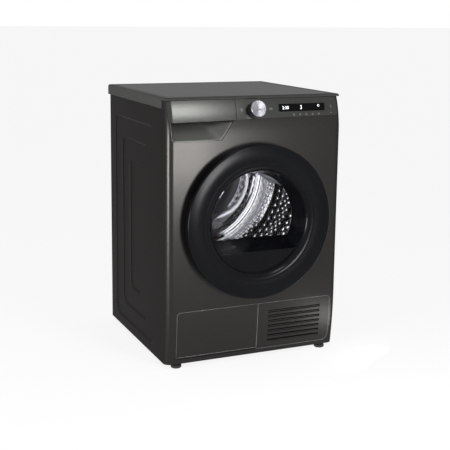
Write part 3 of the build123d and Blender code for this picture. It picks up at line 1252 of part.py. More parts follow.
def water_tank():
    """Condensate tank with its filling mouth and the two arms of its drawer front."""
    y0, y1 = FRONT + TANK_FRONT, FRONT + TANK_BACK
    tank = prism(tank_section(0), y0, y1) - prism(tank_section(-2), y0 + 2, y1 - 2)
    mouth_x = TANK_LEFT + 50
    tank = tank - block(mouth_x - 30, mouth_x + 30, y1 - 60, y1 - 14, TANK_TOP - 3, TANK_TOP + 1)
    right = TANK_LEFT + TANK_WIDTH
    for x in (TANK_LEFT + 4, right - 8):
        arm = block(x, x + 4, FRONT, y0 + 1, TANK_LOW + 20, TANK_TOP - 3)
        tank = tank + (arm & front_form(WALL))
    return tank


def drawer_front():
    """Handle front of the tank drawer, the left part of the band."""
    return front_tile(drawer_zone(), RIM)


def tank_shelf():
    """Trough that the tank slides in, arched over the drum."""
    trough = tank_section(GAP + 1.5) - tank_section(GAP)
    trough = trough - Pos(0, TANK_TOP + 20) * Rectangle(WIDTH, 44)
    return prism(trough, FRONT + 60, FRONT + TANK_BACK + 8)


def top_rails():
    """Angle rails across the head of the case, front and rear."""
    half = HALF - BASE_WALL - GAP
    high = HEIGHT - INLAY_THICK - BASE_WALL - GAP
    low = HEIGHT - LIP_HEIGHT
    rails = []
    for y, web_left in ((FRONT + 52, DRAWER_RIGHT + 6), (FRONT + 512, -half)):
        shelf = block(-half, half, y, y + 24, high - 1.5, high)
        web = block(web_left, half, y, y + 1.5, low, high)
        rails.append(shelf + web)
    return rails


# ---- lint filter and feet -------------------------------------------------------------
def lint_filter():
    """Lift-out filter pocket: frame, windowed faces and a hand bar."""
    half = FILTER_HALF - GAP
    y0, y1 = FRONT + FILTER_FRONT, FRONT + FILTER_FRONT + FILTER_THICK
    high = FILTER_LOW + FILTER_HEIGHT
    frame = block(-half, half, y0, y1, FILTER_LOW, high)
    frame = frame - block(-half + 2, half - 2, y0 + 2, y1 - 2, FILTER_LOW + 2, high + 1)
    pane = (2 * half - 20) / 3
    for index in range(3):
        x = -half + 5 + index * (pane + 5)
        frame = frame - block(x, x + pane, y0 - 1, y0 + 1.4, FILTER_LOW + 6, high - 16)
        frame = frame - block(x, x + pane, y1 - 1.4, y1 + 1, FILTER_LOW + 6, high - 16)
    bar = block(-22, 22, y0 + 1, y1 - 1, high - 8, high + 5)
    bar = fillet(bar.edges().filter_by(Axis.Y), 3)
    return frame + bar


def levelling_foot(x, depth):
    """Screw foot: pad, hexagon and stem."""
    y = FRONT + depth
    pad = Pos(x, y, 0) * revolve(
        Plane.XZ * Polygon((0, 0), (FOOT_RADIUS - 2, 0), (FOOT_RADIUS, 2), (FOOT_RADIUS, 8),
                           (FOOT_RADIUS - 3, 10), (0, 10), align=None), Axis.Z)
    nut = Pos(x, y, 9.5) * extrude(RegularPolygon(9, 6), FOOT_LIFT - 10)
    stem = rod_z(x, y, STEM_RADIUS, 9, STEM_TOP)
    return pad + nut + stem


# ---- all pieces -----------------------------------------------------------------------
def all_pieces():
    right_side = side_panel()
    pieces = {
        "right_side_panel": right_side,
        "left_side_panel": mirror(right_side, Plane.YZ),
        "rear_panel": rear_panel(),
        "rear_duct_cover": rear_duct_cover(),
        "front_panel": front_panel(),
        "top_frame": top_frame(),
        "top_plate": top_plate(),
        "base_housing": base_housing(),
        "base_cover": base_cover(),
        "grille_panel": grille_panel(),
        "exchanger_cover": exchanger_cover(),
        "left_cover_lever": cover_lever(LEVER_LEFT),
        "right_cover_lever": cover_lever(LEVER_RIGHT),
        "access_flap": access_flap(),
        "control_panel": control_panel(),
        "display_window": display_window(),
        "control_board": control_board(),
        "program_dial": program_dial(),
        "door_ring": door_ring(),
        "door_back": door_back(),
        "window_surround": window_surround(),
        "window_glass": window_glass(),
        "hinge_arm": hinge_arm(),
        "hinge_bracket": hinge_bracket(),
        "door_latch": door_latch(),
        "door_catch": door_catch(),
        "door_seal": door_seal(),
        "front_bulkhead": front_bulkhead(),
        "rear_bulkhead": rear_bulkhead(),
        "drum_felt_seals": drum_felt_seals(),
        "drum_shell": drum_shell(),
        "drum_lifters": drum_lifters(),
        "roller_axles": roller_axles(),
        "motor_stator": motor_stator(),
        "motor_rotor": motor_rotor(),
        "idler_pulley": idler_pulley(),
        "drive_belt": drive_belt(),
        "blower_housing": blower_housing(),
        "blower_fan": blower_fan(),
        "compressor": compressor(),
        "heat_exchangers": heat_exchangers(),
        "refrigerant_pipes": refrigerant_pipes(),
        "fan_shroud": fan_shroud(),
        "cooling_fan": cooling_fan(),
        "condensate_pump": condensate_pump(),
        "main_board": main_board(),
        "mains_inlet": mains_inlet(),
        "water_tank": water_tank(),
        "drawer_front": drawer_front(),
        "tank_shelf": tank_shelf(),
        "top_rails": top_rails(),
        "lint_filter": lint_filter(),
    }
    for name, x, z, depth in roller_places():
        pieces[name] = support_roller(x, z, depth)
    for end, depth in (("front", FOOT_FRONT), ("rear", FOOT_REAR)):
        for hand, x in (("left", -FOOT_X), ("right", FOOT_X)):
            pieces[f"{end}_{hand}_foot"] = levelling_foot(x, depth)
    return pieces


os.makedirs("parts", exist_ok=True)
for node, shape in all_pieces().items():
    shapes = shape if isinstance(shape, list) else [shape]
    solids = [solid for piece in shapes for solid in piece.solids()]
    export_step(Compound(children=solids), f"parts/{node}.step")
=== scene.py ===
"""Free-standing heat-pump clothes dryer, 598 mm wide, 630 mm deep and 850 mm high."""

import math

import bmesh
import bpy
from mathutils import Matrix, Vector
from mathutils.geometry import interpolate_bezier


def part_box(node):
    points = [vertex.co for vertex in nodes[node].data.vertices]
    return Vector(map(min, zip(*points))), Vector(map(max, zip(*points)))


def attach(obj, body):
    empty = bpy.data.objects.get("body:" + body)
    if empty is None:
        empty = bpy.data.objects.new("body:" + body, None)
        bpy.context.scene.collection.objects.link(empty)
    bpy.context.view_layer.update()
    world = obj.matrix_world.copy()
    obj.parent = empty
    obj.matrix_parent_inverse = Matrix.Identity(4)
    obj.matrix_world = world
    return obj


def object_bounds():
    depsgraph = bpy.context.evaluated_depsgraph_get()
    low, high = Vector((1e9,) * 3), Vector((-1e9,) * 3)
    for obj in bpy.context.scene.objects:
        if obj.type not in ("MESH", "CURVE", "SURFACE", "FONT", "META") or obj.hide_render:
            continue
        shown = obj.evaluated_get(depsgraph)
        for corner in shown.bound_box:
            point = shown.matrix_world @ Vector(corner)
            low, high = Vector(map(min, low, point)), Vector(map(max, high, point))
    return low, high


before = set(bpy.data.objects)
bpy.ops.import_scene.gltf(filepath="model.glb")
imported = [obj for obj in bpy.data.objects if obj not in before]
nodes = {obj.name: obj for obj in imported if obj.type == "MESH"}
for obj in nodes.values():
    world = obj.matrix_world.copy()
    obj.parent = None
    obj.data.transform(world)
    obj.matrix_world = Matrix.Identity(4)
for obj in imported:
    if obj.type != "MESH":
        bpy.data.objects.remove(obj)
cad_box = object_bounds()


# ---- case panels ---------------------------------------------------------------------
# Left, right and front panels: 1 mm steel sheet, pressed, coil-coated in graphite.
# The panels hook into the base and are screwed together along the rear edges.
MM = 0.001
EDGE_GREY = (0.4, 0.4, 0.4, 1.0)    # a lacquer over flakes stays dull where a bare metal turns white


def linear(colour):
    """Turns an sRGB hex colour to the linear one that shaders take."""
    parts = [int(colour[i:i + 2], 16) / 255 for i in (1, 3, 5)]
    return (*[p / 12.92 if p <= 0.04045 else ((p + 0.055) / 1.055) ** 2.4 for p in parts], 1.0)


def add(tree, kind, settings, sources, targets=None):
    """Adds a node with its settings, by socket or property, and links it to sources and targets."""
    made = tree.nodes.new(kind)
    for name, value in settings.items():
        if name == "stops":
            ramp = made.color_ramp
            while len(ramp.elements) < len(value):
                ramp.elements.new(0.5)
            for element, (position, colour) in zip(ramp.elements, value):
                element.position = position
                element.color = linear(colour)
        elif name in made.inputs:
            made.inputs[name].default_value = value
        else:
            setattr(made, name, value)
    for name, source in sources.items():
        tree.links.new(source, made.inputs[name])
    for name, target in (targets or {}).items():
        tree.links.new(made.outputs[name], target)
    return made


def finish(name, surface):
    """A material with these settings on its Principled shader, and its tree, shader and place."""
    made = bpy.data.materials.new(name)
    made.use_nodes = True
    tree = made.node_tree
    shader = tree.nodes["Principled BSDF"]
    for socket, value in surface.items():
        shader.inputs[socket].default_value = value
    place = add(tree, "ShaderNodeTexCoord", {}, {}).outputs["Object"]
    return made, tree, shader, place


def toned(name, surface, scale, detail, tones, stretch=None, spread=(0.3, 0.7)):
    """A finish whose colour drifts between two tones, and its tree, shader, place and pattern."""
    made, tree, shader, place = finish(name, surface)
    way = place
    if stretch:
        way = add(tree, "ShaderNodeMapping", {"Scale": stretch}, {"Vector": place}).outputs["Vector"]
    noise = add(tree, "ShaderNodeTexNoise", {"Scale": scale, "Detail": detail}, {"Vector": way})
    pattern = noise.outputs["Fac"]
    add(tree, "ShaderNodeValToRGB", {"stops": list(zip(spread, tones))}, {"Fac": pattern},
        {"Color": shader.inputs["Base Color"]})
    return made, tree, shader, place, pattern


def dress(material, *names):
    """Gives CAD nodes their material."""
    for name in names:
        mesh = nodes[name].data
        mesh.materials.clear()
        mesh.materials.append(material)


# Coil-coated steel: smooth metallic lacquer over a fine rolled grain, satin and slightly uneven.
# The rolled grain is about 0.1 mm; it is drawn at 1.5 mm so that it shows.
FINE_GRAIN = (40, 40, 650)
GRAPHITE = ("#2f2e2d", "#333231")
graphite, tree, shader, place, grain = toned(
    "graphite_coil_coated_steel",
    {"Metallic": 0.9, "Roughness": 0.33, "Specular Tint": EDGE_GREY, "Specular IOR Level": 0.2},
    1.0, 3.0, GRAPHITE, stretch=FINE_GRAIN)
cloud = add(tree, "ShaderNodeTexNoise", {"Scale": 5.0, "Detail": 2.0}, {"Vector": place})
add(tree, "ShaderNodeMapRange", {"To Min": 0.26, "To Max": 0.33}, {"Value": cloud.outputs["Fac"]},
    {"Result": shader.inputs["Roughness"]})
add(tree, "ShaderNodeBump", {"Strength": 0.02, "Distance": 0.05 * MM}, {"Height": grain},
    {"Normal": shader.inputs["Normal"]})
dress(graphite, "front_panel", "left_side_panel", "right_side_panel")


# ---- rear sheets and brackets --------------------------------------------------------
# Rear panel, cover of the air duct, top rails, hinge bracket and arm, and the rollers' axles.
# Hot-dip galvanised steel, left bare, folded and screwed.
zinc, tree, shader, place = finish("galvanised_steel", {"Metallic": 1.0, "Roughness": 0.4})
# Zinc spangles are 6 to 10 mm across.
spangle = add(tree, "ShaderNodeTexVoronoi", {"Scale": 130.0}, {"Vector": place}).outputs["Color"]
add(tree, "ShaderNodeValToRGB", {"stops": [(0.0, "#9fa2a5"), (1.0, "#b9bcbf")]}, {"Fac": spangle},
    {"Color": shader.inputs["Base Color"]})
add(tree, "ShaderNodeMapRange", {"To Min": 0.32, "To Max": 0.5}, {"Value": spangle},
    {"Result": shader.inputs["Roughness"]})
dress(zinc, "rear_panel", "rear_duct_cover", "top_rails", "hinge_bracket", "hinge_arm", "roller_axles")


# ---- top cover -----------------------------------------------------------------------
# A moulded ABS frame with a lip all round, and a board of melamine-faced chipboard set in it.
# It sits on the rails and slides forward onto clips, with two screws at the rear.
def moulded(name, colour, roughness, texture=0.15, specular=0.5):
    """Injection-moulded plastic with a spark-eroded skin, drawn at about 1 mm so that it shows."""
    made, tree, shader, place = finish(
        name, {"Roughness": roughness, "IOR": 1.49, "Specular IOR Level": specular})
    skin = add(tree, "ShaderNodeTexNoise", {"Scale": 900.0, "Detail": 2.0}, {"Vector": place})
    add(tree, "ShaderNodeBump", {"Strength": texture, "Distance": 0.1 * MM},
        {"Height": skin.outputs["Fac"]}, {"Normal": shader.inputs["Normal"]})
    flow = add(tree, "ShaderNodeTexNoise", {"Scale": 9.0, "Detail": 2.0}, {"Vector": place})
    shade = add(tree, "ShaderNodeMapRange", {"To Min": 0.9, "To Max": 1.1},
                {"Value": flow.outputs["Fac"]})
    add(tree, "ShaderNodeHueSaturation", {"Color": linear(colour)}, {"Value": shade.outputs["Result"]},
        {"Color": shader.inputs["Base Color"]})
    return made


dress(moulded("graphite_abs_cover", "#373836", 0.5, specular=0.03), "top_frame")
# The board's pearl-like pressed grain is about 1 mm.
melamine, tree, shader, _, press = toned(
    "graphite_melamine_board", {"Roughness": 0.42, "IOR": 1.5, "Specular IOR Level": 0.03},
    700.0, 4.0, ("#2f302e", "#373835"))
add(tree, "ShaderNodeBump", {"Strength": 0.2, "Distance": 0.1 * MM}, {"Height": press},
    {"Normal": shader.inputs["Normal"]})
dress(melamine, "top_plate")


# ---- control band --------------------------------------------------------------------
# Band of moulded ABS in a metallic lacquer, in two parts: the front of the tank drawer at the left
# and the control panel at the right. The lacquer's flakes lie flat, which gives a broad sheen.
lacquer, *_ = toned(
    "metallic_lacquered_abs",
    {"Metallic": 0.85, "Roughness": 0.26, "Specular Tint": EDGE_GREY, "Specular IOR Level": 0.2},
    1.0, 3.0, ("#3c3d3b", "#40413f"), stretch=(30, 30, 500))
dress(lacquer, "control_panel", "drawer_front")


# ---- hand recess ---------------------------------------------------------------------
# Scoop of lacquered ABS let into the pressed pocket under the drawer. It is deepest under the band,
# where the fingers reach behind it, and rises to the sheet at its foot and its slanted right side.
RECESS_TOP, RECESS_LOW = 775 * MM, 717.4 * MM
RECESS_LEFT, RECESS_FOOT, RECESS_RIGHT = -286.6 * MM, -120.4 * MM, -79 * MM
RECESS_LEAN, RECESS_ROUND = 5.4 * MM, 10 * MM       # the left side leans in to a rounded corner
# The rim follows the front, which curves back towards the top: how far back its corners lie.
FOOT_BACK, LEFT_BACK, RIGHT_BACK, RIGHT_RISE = 0.4 * MM, 3.6 * MM, 3.9 * MM, 2.4 * MM
RECESS_DEEP, RECESS_STEPS = 33 * MM, 10
CORNER_STEPS, LONG_EDGE, EDGE_CUTS = 6, 30 * MM, 5
NARROWER, LOWER = 0.3, 0.82                         # how much of its size the scoop loses on the way in
SHRINKS_TO_X = -275 * MM
SCOOP_WALL = 1.2 * MM
DOOR_STANDS_OUT = 40 * MM
front = cad_box[0].y + DOOR_STANDS_OUT


def outward(shape, way):
    """Recalculates the normals of an open shape so that on the whole they face a way along Y."""
    bmesh.ops.recalc_face_normals(shape, faces=shape.faces)
    if sum(face.normal.y for face in shape.faces) * way < 0:
        bmesh.ops.reverse_faces(shape, faces=shape.faces)


def place_piece(name, shape, material, body, smooth=False):
    """Makes a finished shape an object at the origin and sets it on its body."""
    mesh = bpy.data.meshes.new(name)
    if smooth:
        for face in shape.faces:
            face.smooth = True
    shape.to_mesh(mesh)
    shape.free()
    mesh.materials.append(material)
    made = bpy.data.objects.new(name, mesh)
    bpy.context.scene.collection.objects.link(made)
    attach(made, body)


# A lighter, less metallic copy of the band's lacquer for the scoop. This is painted light, which makes
# the shaded hollow look lit.
scoop_lacquer_painted_lighter, *_ = toned(
    "lacquered_abs_painted_lighter", {"Metallic": 0.6, "Roughness": 0.36, "Specular Tint": EDGE_GREY},
    400.0, 2.0, ("#454643", "#4a4b48"))
scoop = bmesh.new()
corner = Vector((RECESS_LEFT + RECESS_LEAN + RECESS_ROUND, front, RECESS_LOW + RECESS_ROUND))
head = scoop.verts.new((RECESS_LEFT, front + LEFT_BACK, RECESS_TOP))
start = scoop.verts.new((corner.x - RECESS_ROUND, front + FOOT_BACK, corner.z))
scoop.edges.new((head, start))
turned = bmesh.ops.spin(scoop, geom=[start], cent=corner, axis=(0, -1, 0), angle=math.pi / 2,
                        steps=CORNER_STEPS)
sill = scoop.verts.new((RECESS_FOOT, front + FOOT_BACK, RECESS_LOW))
scoop.edges.new((turned["geom_last"][0], sill))
tip = scoop.verts.new((RECESS_RIGHT, front + RIGHT_BACK, RECESS_TOP + RIGHT_RISE))
scoop.edges.new((sill, tip))
long_edges = [edge for edge in scoop.edges if edge.calc_length() > LONG_EDGE]
bmesh.ops.subdivide_edges(scoop, edges=long_edges, cuts=EDGE_CUTS)
rim = scoop.edges[:]
hub = Matrix.Translation((-SHRINKS_TO_X, 0, -RECESS_TOP))
for step in range(RECESS_STEPS):
    drawn = bmesh.ops.extrude_edge_only(scoop, edges=rim)["geom"]
    fresh = [part for part in drawn if isinstance(part, bmesh.types.BMVert)]
    rim = [part for part in drawn
           if isinstance(part, bmesh.types.BMEdge) and set(part.verts) <= set(fresh)]
    share, before = (step + 1) / RECESS_STEPS, step / RECESS_STEPS
    narrow = (1 - NARROWER * share) / (1 - NARROWER * before)
    lower = (1 - LOWER * share) / (1 - LOWER * before)
    bmesh.ops.scale(scoop, verts=fresh, space=hub, vec=(narrow, 1, lower))
    bmesh.ops.translate(scoop, verts=fresh, vec=(0, RECESS_DEEP / RECESS_STEPS, 0))
bmesh.ops.contextual_create(scoop, geom=fresh)
outward(scoop, -1)
bmesh.ops.solidify(scoop, geom=scoop.faces[:], thickness=SCOOP_WALL)
place_piece("hand_recess_scoop", scoop, scoop_lacquer_painted_lighter, "cabinet", smooth=True)


# ---- display -------------------------------------------------------------------------
# Black acrylic window, moulded and polished, set flush with the band. Marks lit from behind show the
# time left, a digit and an open ring.
acrylic, tree, shader, place = finish(
    "black_acrylic", {"Roughness": 0.08, "IOR": 1.49, "Specular IOR Level": 0.06})
haze = add(tree, "ShaderNodeTexNoise", {"Scale": 40.0, "Detail": 3.0}, {"Vector": place})
add(tree, "ShaderNodeMapRange", {"To Min": 0.05, "To Max": 0.12}, {"Value": haze.outputs["Fac"]},
    {"Result": shader.inputs["Roughness"]})
shader.inputs["Base Color"].default_value = linear("#060607")
dress(acrylic, "display_window")

PRINT_THICK = 0.12 * MM
OFF_PART = 100 * MM                                 # a ray that finds a surface starts this far off


def print_on(name, mesh, surface, material):
    """Lays a flat mesh, drawn in X and Z, on the front of a CAD node as a thin printed film."""
    drawn = bmesh.new()
    drawn.from_mesh(mesh)
    bmesh.ops.triangulate(drawn, faces=drawn.faces)
    for vert in drawn.verts:
        start = Vector((vert.co.x, cad_box[0].y - OFF_PART, vert.co.z))
        met, at, _, _ = nodes[surface].ray_cast(start, Vector((0, 1, 0)))
        if met:
            vert.co.y = at.y - PRINT_THICK
    bmesh.ops.solidify(drawn, geom=drawn.faces[:], thickness=-PRINT_THICK / 2)
    bmesh.ops.recalc_face_normals(drawn, faces=drawn.faces)
    place_piece(name, drawn, material, "cabinet")


def lettering(words, x, z, height):
    """Digits as a flat mesh in X and Z, starting at x, on the line z."""
    curve = bpy.data.curves.new(words, "FONT")
    curve.body = words
    curve.size = height
    holder = bpy.data.objects.new(words, curve)
    mesh = bpy.data.meshes.new_from_object(holder)
    bpy.data.objects.remove(holder)
    mesh.transform(Matrix.Translation((x, 0, z)) @ Matrix.Rotation(math.pi / 2, 4, "X"))
    return mesh


def drawn_mesh(shapes):
    """Flat shapes as one mesh. Each is a kind, X and Z, and then its sizes: a bar's and a wedge's are
    width and height, an arc's are radius, stroke, and start and sweep in degrees."""
    sheet = bmesh.new()
    for kind, x, z, *sizes in shapes:
        if kind == "bar":
            width, height = sizes
            made = bmesh.ops.create_grid(sheet, x_segments=1, y_segments=1, size=0.5)["verts"]
            bmesh.ops.scale(sheet, verts=made, vec=(width, height, 1))
            bmesh.ops.rotate(sheet, verts=made, matrix=Matrix.Rotation(math.pi / 2, 3, "X"))
            bmesh.ops.translate(sheet, verts=made, vec=(x, 0, z))
        elif kind == "arc":
            radius, stroke, start, sweep = sizes
            inner = sheet.verts.new((x + radius - stroke, 0, z))
            outer = sheet.verts.new((x + radius, 0, z))
            edge = sheet.edges.new((inner, outer))
            centre = (x, 0, z)
            bmesh.ops.rotate(sheet, verts=[inner, outer], cent=centre,
                             matrix=Matrix.Rotation(-math.radians(start), 3, "Y"))
            bmesh.ops.spin(sheet, geom=[inner, outer, edge], cent=centre, axis=(0, -1, 0),
                           angle=math.radians(sweep), steps=20)
        else:
            width, height = sizes
            corners = [(x, z + height / 2), (x + width, z), (x, z - height / 2)]
            sheet.faces.new([sheet.verts.new((u, 0, v)) for u, v in corners])
    mesh = bpy.data.meshes.new("drawn")
    sheet.to_mesh(mesh)
    sheet.free()
    return mesh


# White light through the window, from light guides behind it.
lit, tree, shader, place = finish("lit_white_marks", {"Roughness": 0.4, "Emission Strength": 0.9})
glow = add(tree, "ShaderNodeTexNoise", {"Scale": 120.0}, {"Vector": place})
white = add(tree, "ShaderNodeValToRGB", {"stops": [(0.2, "#dfe6ea"), (0.8, "#ffffff")]},
            {"Fac": glow.outputs["Fac"]}, {"Color": shader.inputs["Base Color"]})
tree.links.new(white.outputs["Color"], shader.inputs["Emission Color"])

low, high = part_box("display_window")
middle = (low.z + high.z) / 2
# Digits, their start from the window's left end, their line under its middle, and their height in mm.
DIGITS = (("display_time", "2:30", 12, 4.5, 13.5), ("display_digit", "3", 74.5, 5.5, 16.5))
for name, words, along, under, tall in DIGITS:
    print_on(name, lettering(words, low.x + along * MM, middle - under * MM, tall * MM),
             "display_window", lit)
open_ring = ("arc", high.x - 22 * MM, middle + 4 * MM, 3.4 * MM, 1.2 * MM, 0, 350)
print_on("display_symbols", drawn_mesh([open_ring]), "display_window", lit)


# ---- touch marks ---------------------------------------------------------------------
# Pale symbols printed on the lacquer over touch fields: power and start beside the dial, five options
# under the display, one at its right with a thin bar under it. The ink is rubbed a little by fingers.
ink, *_ = toned("white_screen_ink", {"Roughness": 0.5}, 300.0, 2.0, ("#6c6c6a", "#7b7b79"),
                spread=(0.2, 0.8))
STROKE, FINE_STROKE = 0.9 * MM, 0.8 * MM
OPTION_COUNT, OPTION_FIRST, OPTION_PITCH, OPTION_UNDER = 5, 52 * MM, 22 * MM, 10 * MM
dial_low, dial_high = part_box("program_dial")
dial_x = (dial_low.x + dial_high.x) / 2
power_x, start_x, start_z = dial_x - 44 * MM, dial_x + 52 * MM, 809 * MM
symbols = [("arc", power_x, 808 * MM, 4.2 * MM, STROKE, 125, 290),
           ("bar", power_x, 811 * MM, STROKE, 5 * MM),
           ("wedge", start_x, start_z, 4.5 * MM, 6 * MM),
           ("bar", start_x + 6 * MM, start_z, 1.1 * MM, 6 * MM),
           ("bar", start_x + 8.2 * MM, start_z, 1.1 * MM, 6 * MM)]
for index in range(OPTION_COUNT):
    x, z = low.x + OPTION_FIRST + OPTION_PITCH * index, low.z - OPTION_UNDER
    symbols += [("arc", x, z, 3.2 * MM, FINE_STROKE, 40 * index, 300),
                ("bar", x, z, 2.2 * MM, FINE_STROKE)]
symbols += [("arc", high.x + 24 * MM, middle, 3.6 * MM, STROKE, 60, 240),
            ("bar", high.x + 31 * MM, low.z - 8 * MM, 24 * MM, 1.2 * MM)]
print_on("touch_symbols", drawn_mesh(symbols), "control_panel", ink)


# ---- programme dial ------------------------------------------------------------------
# Turned aluminium cap on a plastic core. The lathe leaves fine rings on the face, which draw the
# light out into two bright cones.
DIAL_CENTRE = (dial_x, -264.9 * MM, 806 * MM)
DIAL_TILT = math.radians(15)
spun, tree, shader, place = finish(
    "turned_aluminium", {"Metallic": 1.0, "Roughness": 0.24, "Anisotropic": 0.8})
face_on = add(tree, "ShaderNodeMapping",
              {"vector_type": "TEXTURE", "Location": DIAL_CENTRE, "Rotation": (-DIAL_TILT, 0, 0)},
              {"Vector": place})
# Tool rings are 0.1 mm apart; they are drawn at 1 mm.
rings = add(tree, "ShaderNodeTexWave",
            {"wave_type": "RINGS", "rings_direction": "Y", "Scale": 320.0, "Distortion": 0.0},
            {"Vector": face_on.outputs["Vector"]}).outputs["Fac"]
add(tree, "ShaderNodeBump", {"Strength": 0.12, "Distance": 0.12 * MM}, {"Height": rings},
    {"Normal": shader.inputs["Normal"]})
add(tree, "ShaderNodeTangent", {"direction_type": "RADIAL", "axis": "Y"}, {},
    {"Tangent": shader.inputs["Tangent"]})
add(tree, "ShaderNodeValToRGB", {"stops": [(0.0, "#85858a"), (1.0, "#8f8f94")]}, {"Fac": rings},
    {"Color": shader.inputs["Base Color"]})
dress(spun, "program_dial")


# ---- door ----------------------------------------------------------------------------
# Black glass-filled ABS ring and well, polished in the mould and lightly coated, snapped together.
# The window is a bowl of toughened glass, held between the well and a grey back.
black, tree, shader, _, flow = toned(
    "polished_black_abs", {"Roughness": 0.21, "IOR": 1.5, "Specular IOR Level": 0.09},
    7.0, 3.0, ("#060709", "#090a0d"))
add(tree, "ShaderNodeMapRange", {"To Min": 0.19, "To Max": 0.24}, {"Value": flow},
    {"Result": shader.inputs["Roughness"]})
dress(black, "door_ring", "window_surround")
dress(moulded("grey_polypropylene", "#6c6d70", 0.45), "door_back", "door_latch")

# The bowl's two faces have a coating against glare, so the glass turns little of the light back.
glass, tree, shader, place = finish("toughened_glass", {
    "Roughness": 0.0, "IOR": 1.12, "Transmission Weight": 1.0})
ripple = add(tree, "ShaderNodeTexNoise", {"Scale": 12.0, "Detail": 1.0}, {"Vector": place})
add(tree, "ShaderNodeBump", {"Strength": 0.02, "Distance": 0.2 * MM}, {"Height": ripple.outputs["Fac"]},
    {"Normal": shader.inputs["Normal"]})
shader.inputs["Base Color"].default_value = linear("#f6f7f7")
dress(glass, "window_glass")


# ---- door seal, belt and feet --------------------------------------------------------
# Extruded EPDM rubber at the door, and a ribbed belt of the same rubber round the drum. The feet are
# moulded nitrile rubber pads on steel stems under the base.
dress(moulded("epdm_rubber", "#1d1d1e", 0.62, 0.3), "door_seal", "drive_belt")
dress(moulded("nitrile_rubber", "#141414", 0.7, 0.4), "front_left_foot", "front_right_foot",
      "rear_left_foot", "rear_right_foot")


# ---- drum ----------------------------------------------------------------------------
# Stainless steel sheet, rolled, welded and polished. Rows of small ovals are pressed inwards between
# plain bands. The rear wall is dished and perforated for the air.
steel, tree, shader, _, lines = toned(
    "polished_stainless_steel", {"Metallic": 1.0, "Roughness": 0.12},
    1.0, 3.0, ("#a2a2a5", "#b4b4b7"), stretch=(8, 500, 8))
# Polishing lines run round the drum, about 0.3 mm apart, drawn at 2 mm.
add(tree, "ShaderNodeMapRange", {"To Min": 0.04, "To Max": 0.08}, {"Value": lines},
    {"Result": shader.inputs["Roughness"]})
dress(steel, "drum_shell", "rear_bulkhead")

DRUM_WALL = 1.2 * MM
DIMPLE_COUNT = 64                                   # round the drum, in each row
DIMPLE_HIGH, DIMPLE_SUNK = 3.2 * MM, 0.1 * MM
SMALL, LARGE = (17 * MM, 9 * MM), (22 * MM, 12 * MM)     # length round the drum, and width
# Rows from the front rim back, in groups: where a group starts, its rows, their pitch and size.
ROWS = ((30, 5, 14, SMALL), (132, 2, 20, LARGE), (194, 3, 14, SMALL), (248, 2, 34, LARGE),
        (330, 4, 14, SMALL))
low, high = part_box("drum_shell")
drum_centre = (low + high) / 2
drum_inner = (high.x - low.x) / 2 - DRUM_WALL
dome = bmesh.new()
bmesh.ops.create_icosphere(dome, subdivisions=2, radius=1)
bmesh.ops.bisect_plane(dome, geom=dome.verts[:] + dome.edges[:] + dome.faces[:], dist=1e-5,
                       plane_co=(0, 0, 0), plane_no=(0, 0, 1), clear_inner=True)
dome_mesh = bpy.data.meshes.new("dome")
dome.to_mesh(dome_mesh)
dome.free()


def stamp(shape, mesh):
    """Adds a copy of a mesh to a shape, and gives the copy's vertices."""
    before = len(shape.verts)
    shape.from_mesh(mesh)
    shape.verts.ensure_lookup_table()
    return shape.verts[before:]


dimples = bmesh.new()
offset_row = 0
for start, count, pitch, (long, wide) in ROWS:
    for row in range(count):
        offset_row = 1 - offset_row
        made = stamp(dimples, dome_mesh)
        bmesh.ops.scale(dimples, verts=made, vec=(long / 2, wide / 2, DIMPLE_HIGH))
        y = low.y + (start + pitch * row) * MM
        bmesh.ops.translate(dimples, verts=made,
                            vec=(drum_centre.x, y, drum_centre.z - drum_inner - DIMPLE_SUNK))
        bmesh.ops.rotate(dimples, verts=made, cent=drum_centre,
                         matrix=Matrix.Rotation(math.pi / DIMPLE_COUNT * offset_row, 3, "Y"))
bmesh.ops.spin(dimples, geom=dimples.verts[:] + dimples.edges[:] + dimples.faces[:], cent=drum_centre,
               axis=(0, 1, 0), angle=2 * math.pi * (DIMPLE_COUNT - 1) / DIMPLE_COUNT,
               steps=DIMPLE_COUNT - 1, use_duplicate=True)
for face in dimples.faces:
    inward = drum_centre - face.calc_center_median()
    inward.y = 0
    if face.normal.dot(inward) < 0:
        face.normal_flip()
place_piece("drum_dimples", dimples, steel, "drum", smooth=True)


def lathe(shape, section, centre, steps):
    """Turns a half section of radius and Y, in mm, about an axis along Y through a centre."""
    points = [shape.verts.new((centre[0] + radius * MM, y * MM, centre[2])) for radius, y in section]
    for pair in zip(points, points[1:]):
        shape.edges.new(pair)
    bmesh.ops.spin(shape, geom=shape.verts[:] + shape.edges[:], cent=centre, axis=(0, 1, 0),
                   angle=2 * math.pi, steps=steps, use_merge=True)


# Rings pressed in the rear wall, as a polished trim sheet close in front of it. Cones that face the
# axis catch the light from the window, and those that face away stay dark. Radius and Y, in mm.
RINGS = ((248, 224), (246, 220.5), (244, 223.5), (241.5, 223.5), (239.5, 220), (237.5, 222.5),
         (236, 221), (224, 219.2), (219, 220.2), (207, 217.5), (206, 213.2), (193, 214.9),
         (180, 215.7), (168, 211.6), (148, 213.9), (126, 215.6), (124, 219.4), (122.5, 215.8),
         (113, 216.7), (104, 217.2), (102, 219.7))
CREASE = math.radians(5)
trim = bmesh.new()
lathe(trim, RINGS, drum_centre, steps=180)
outward(trim, -1)
for edge in trim.edges:
    if len(edge.link_faces) == 2 and edge.calc_face_angle() > CREASE:
        edge.smooth = False
place_piece("rear_wall_rings", trim, steel, "cabinet", smooth=True)


# ---- drum fittings -------------------------------------------------------------------
# Moulded lifters and lint filter, the wall round the mouth, felt rings that seal the drum's two rims,
# and acetal for the rollers that carry the drum and for the belt's idler.
dress(moulded("light_grey_polypropylene", "#7d7f83", 0.4), "drum_lifters", "lint_filter")
dress(moulded("slate_grey_polypropylene", "#3b3c3f", 0.5), "front_bulkhead")
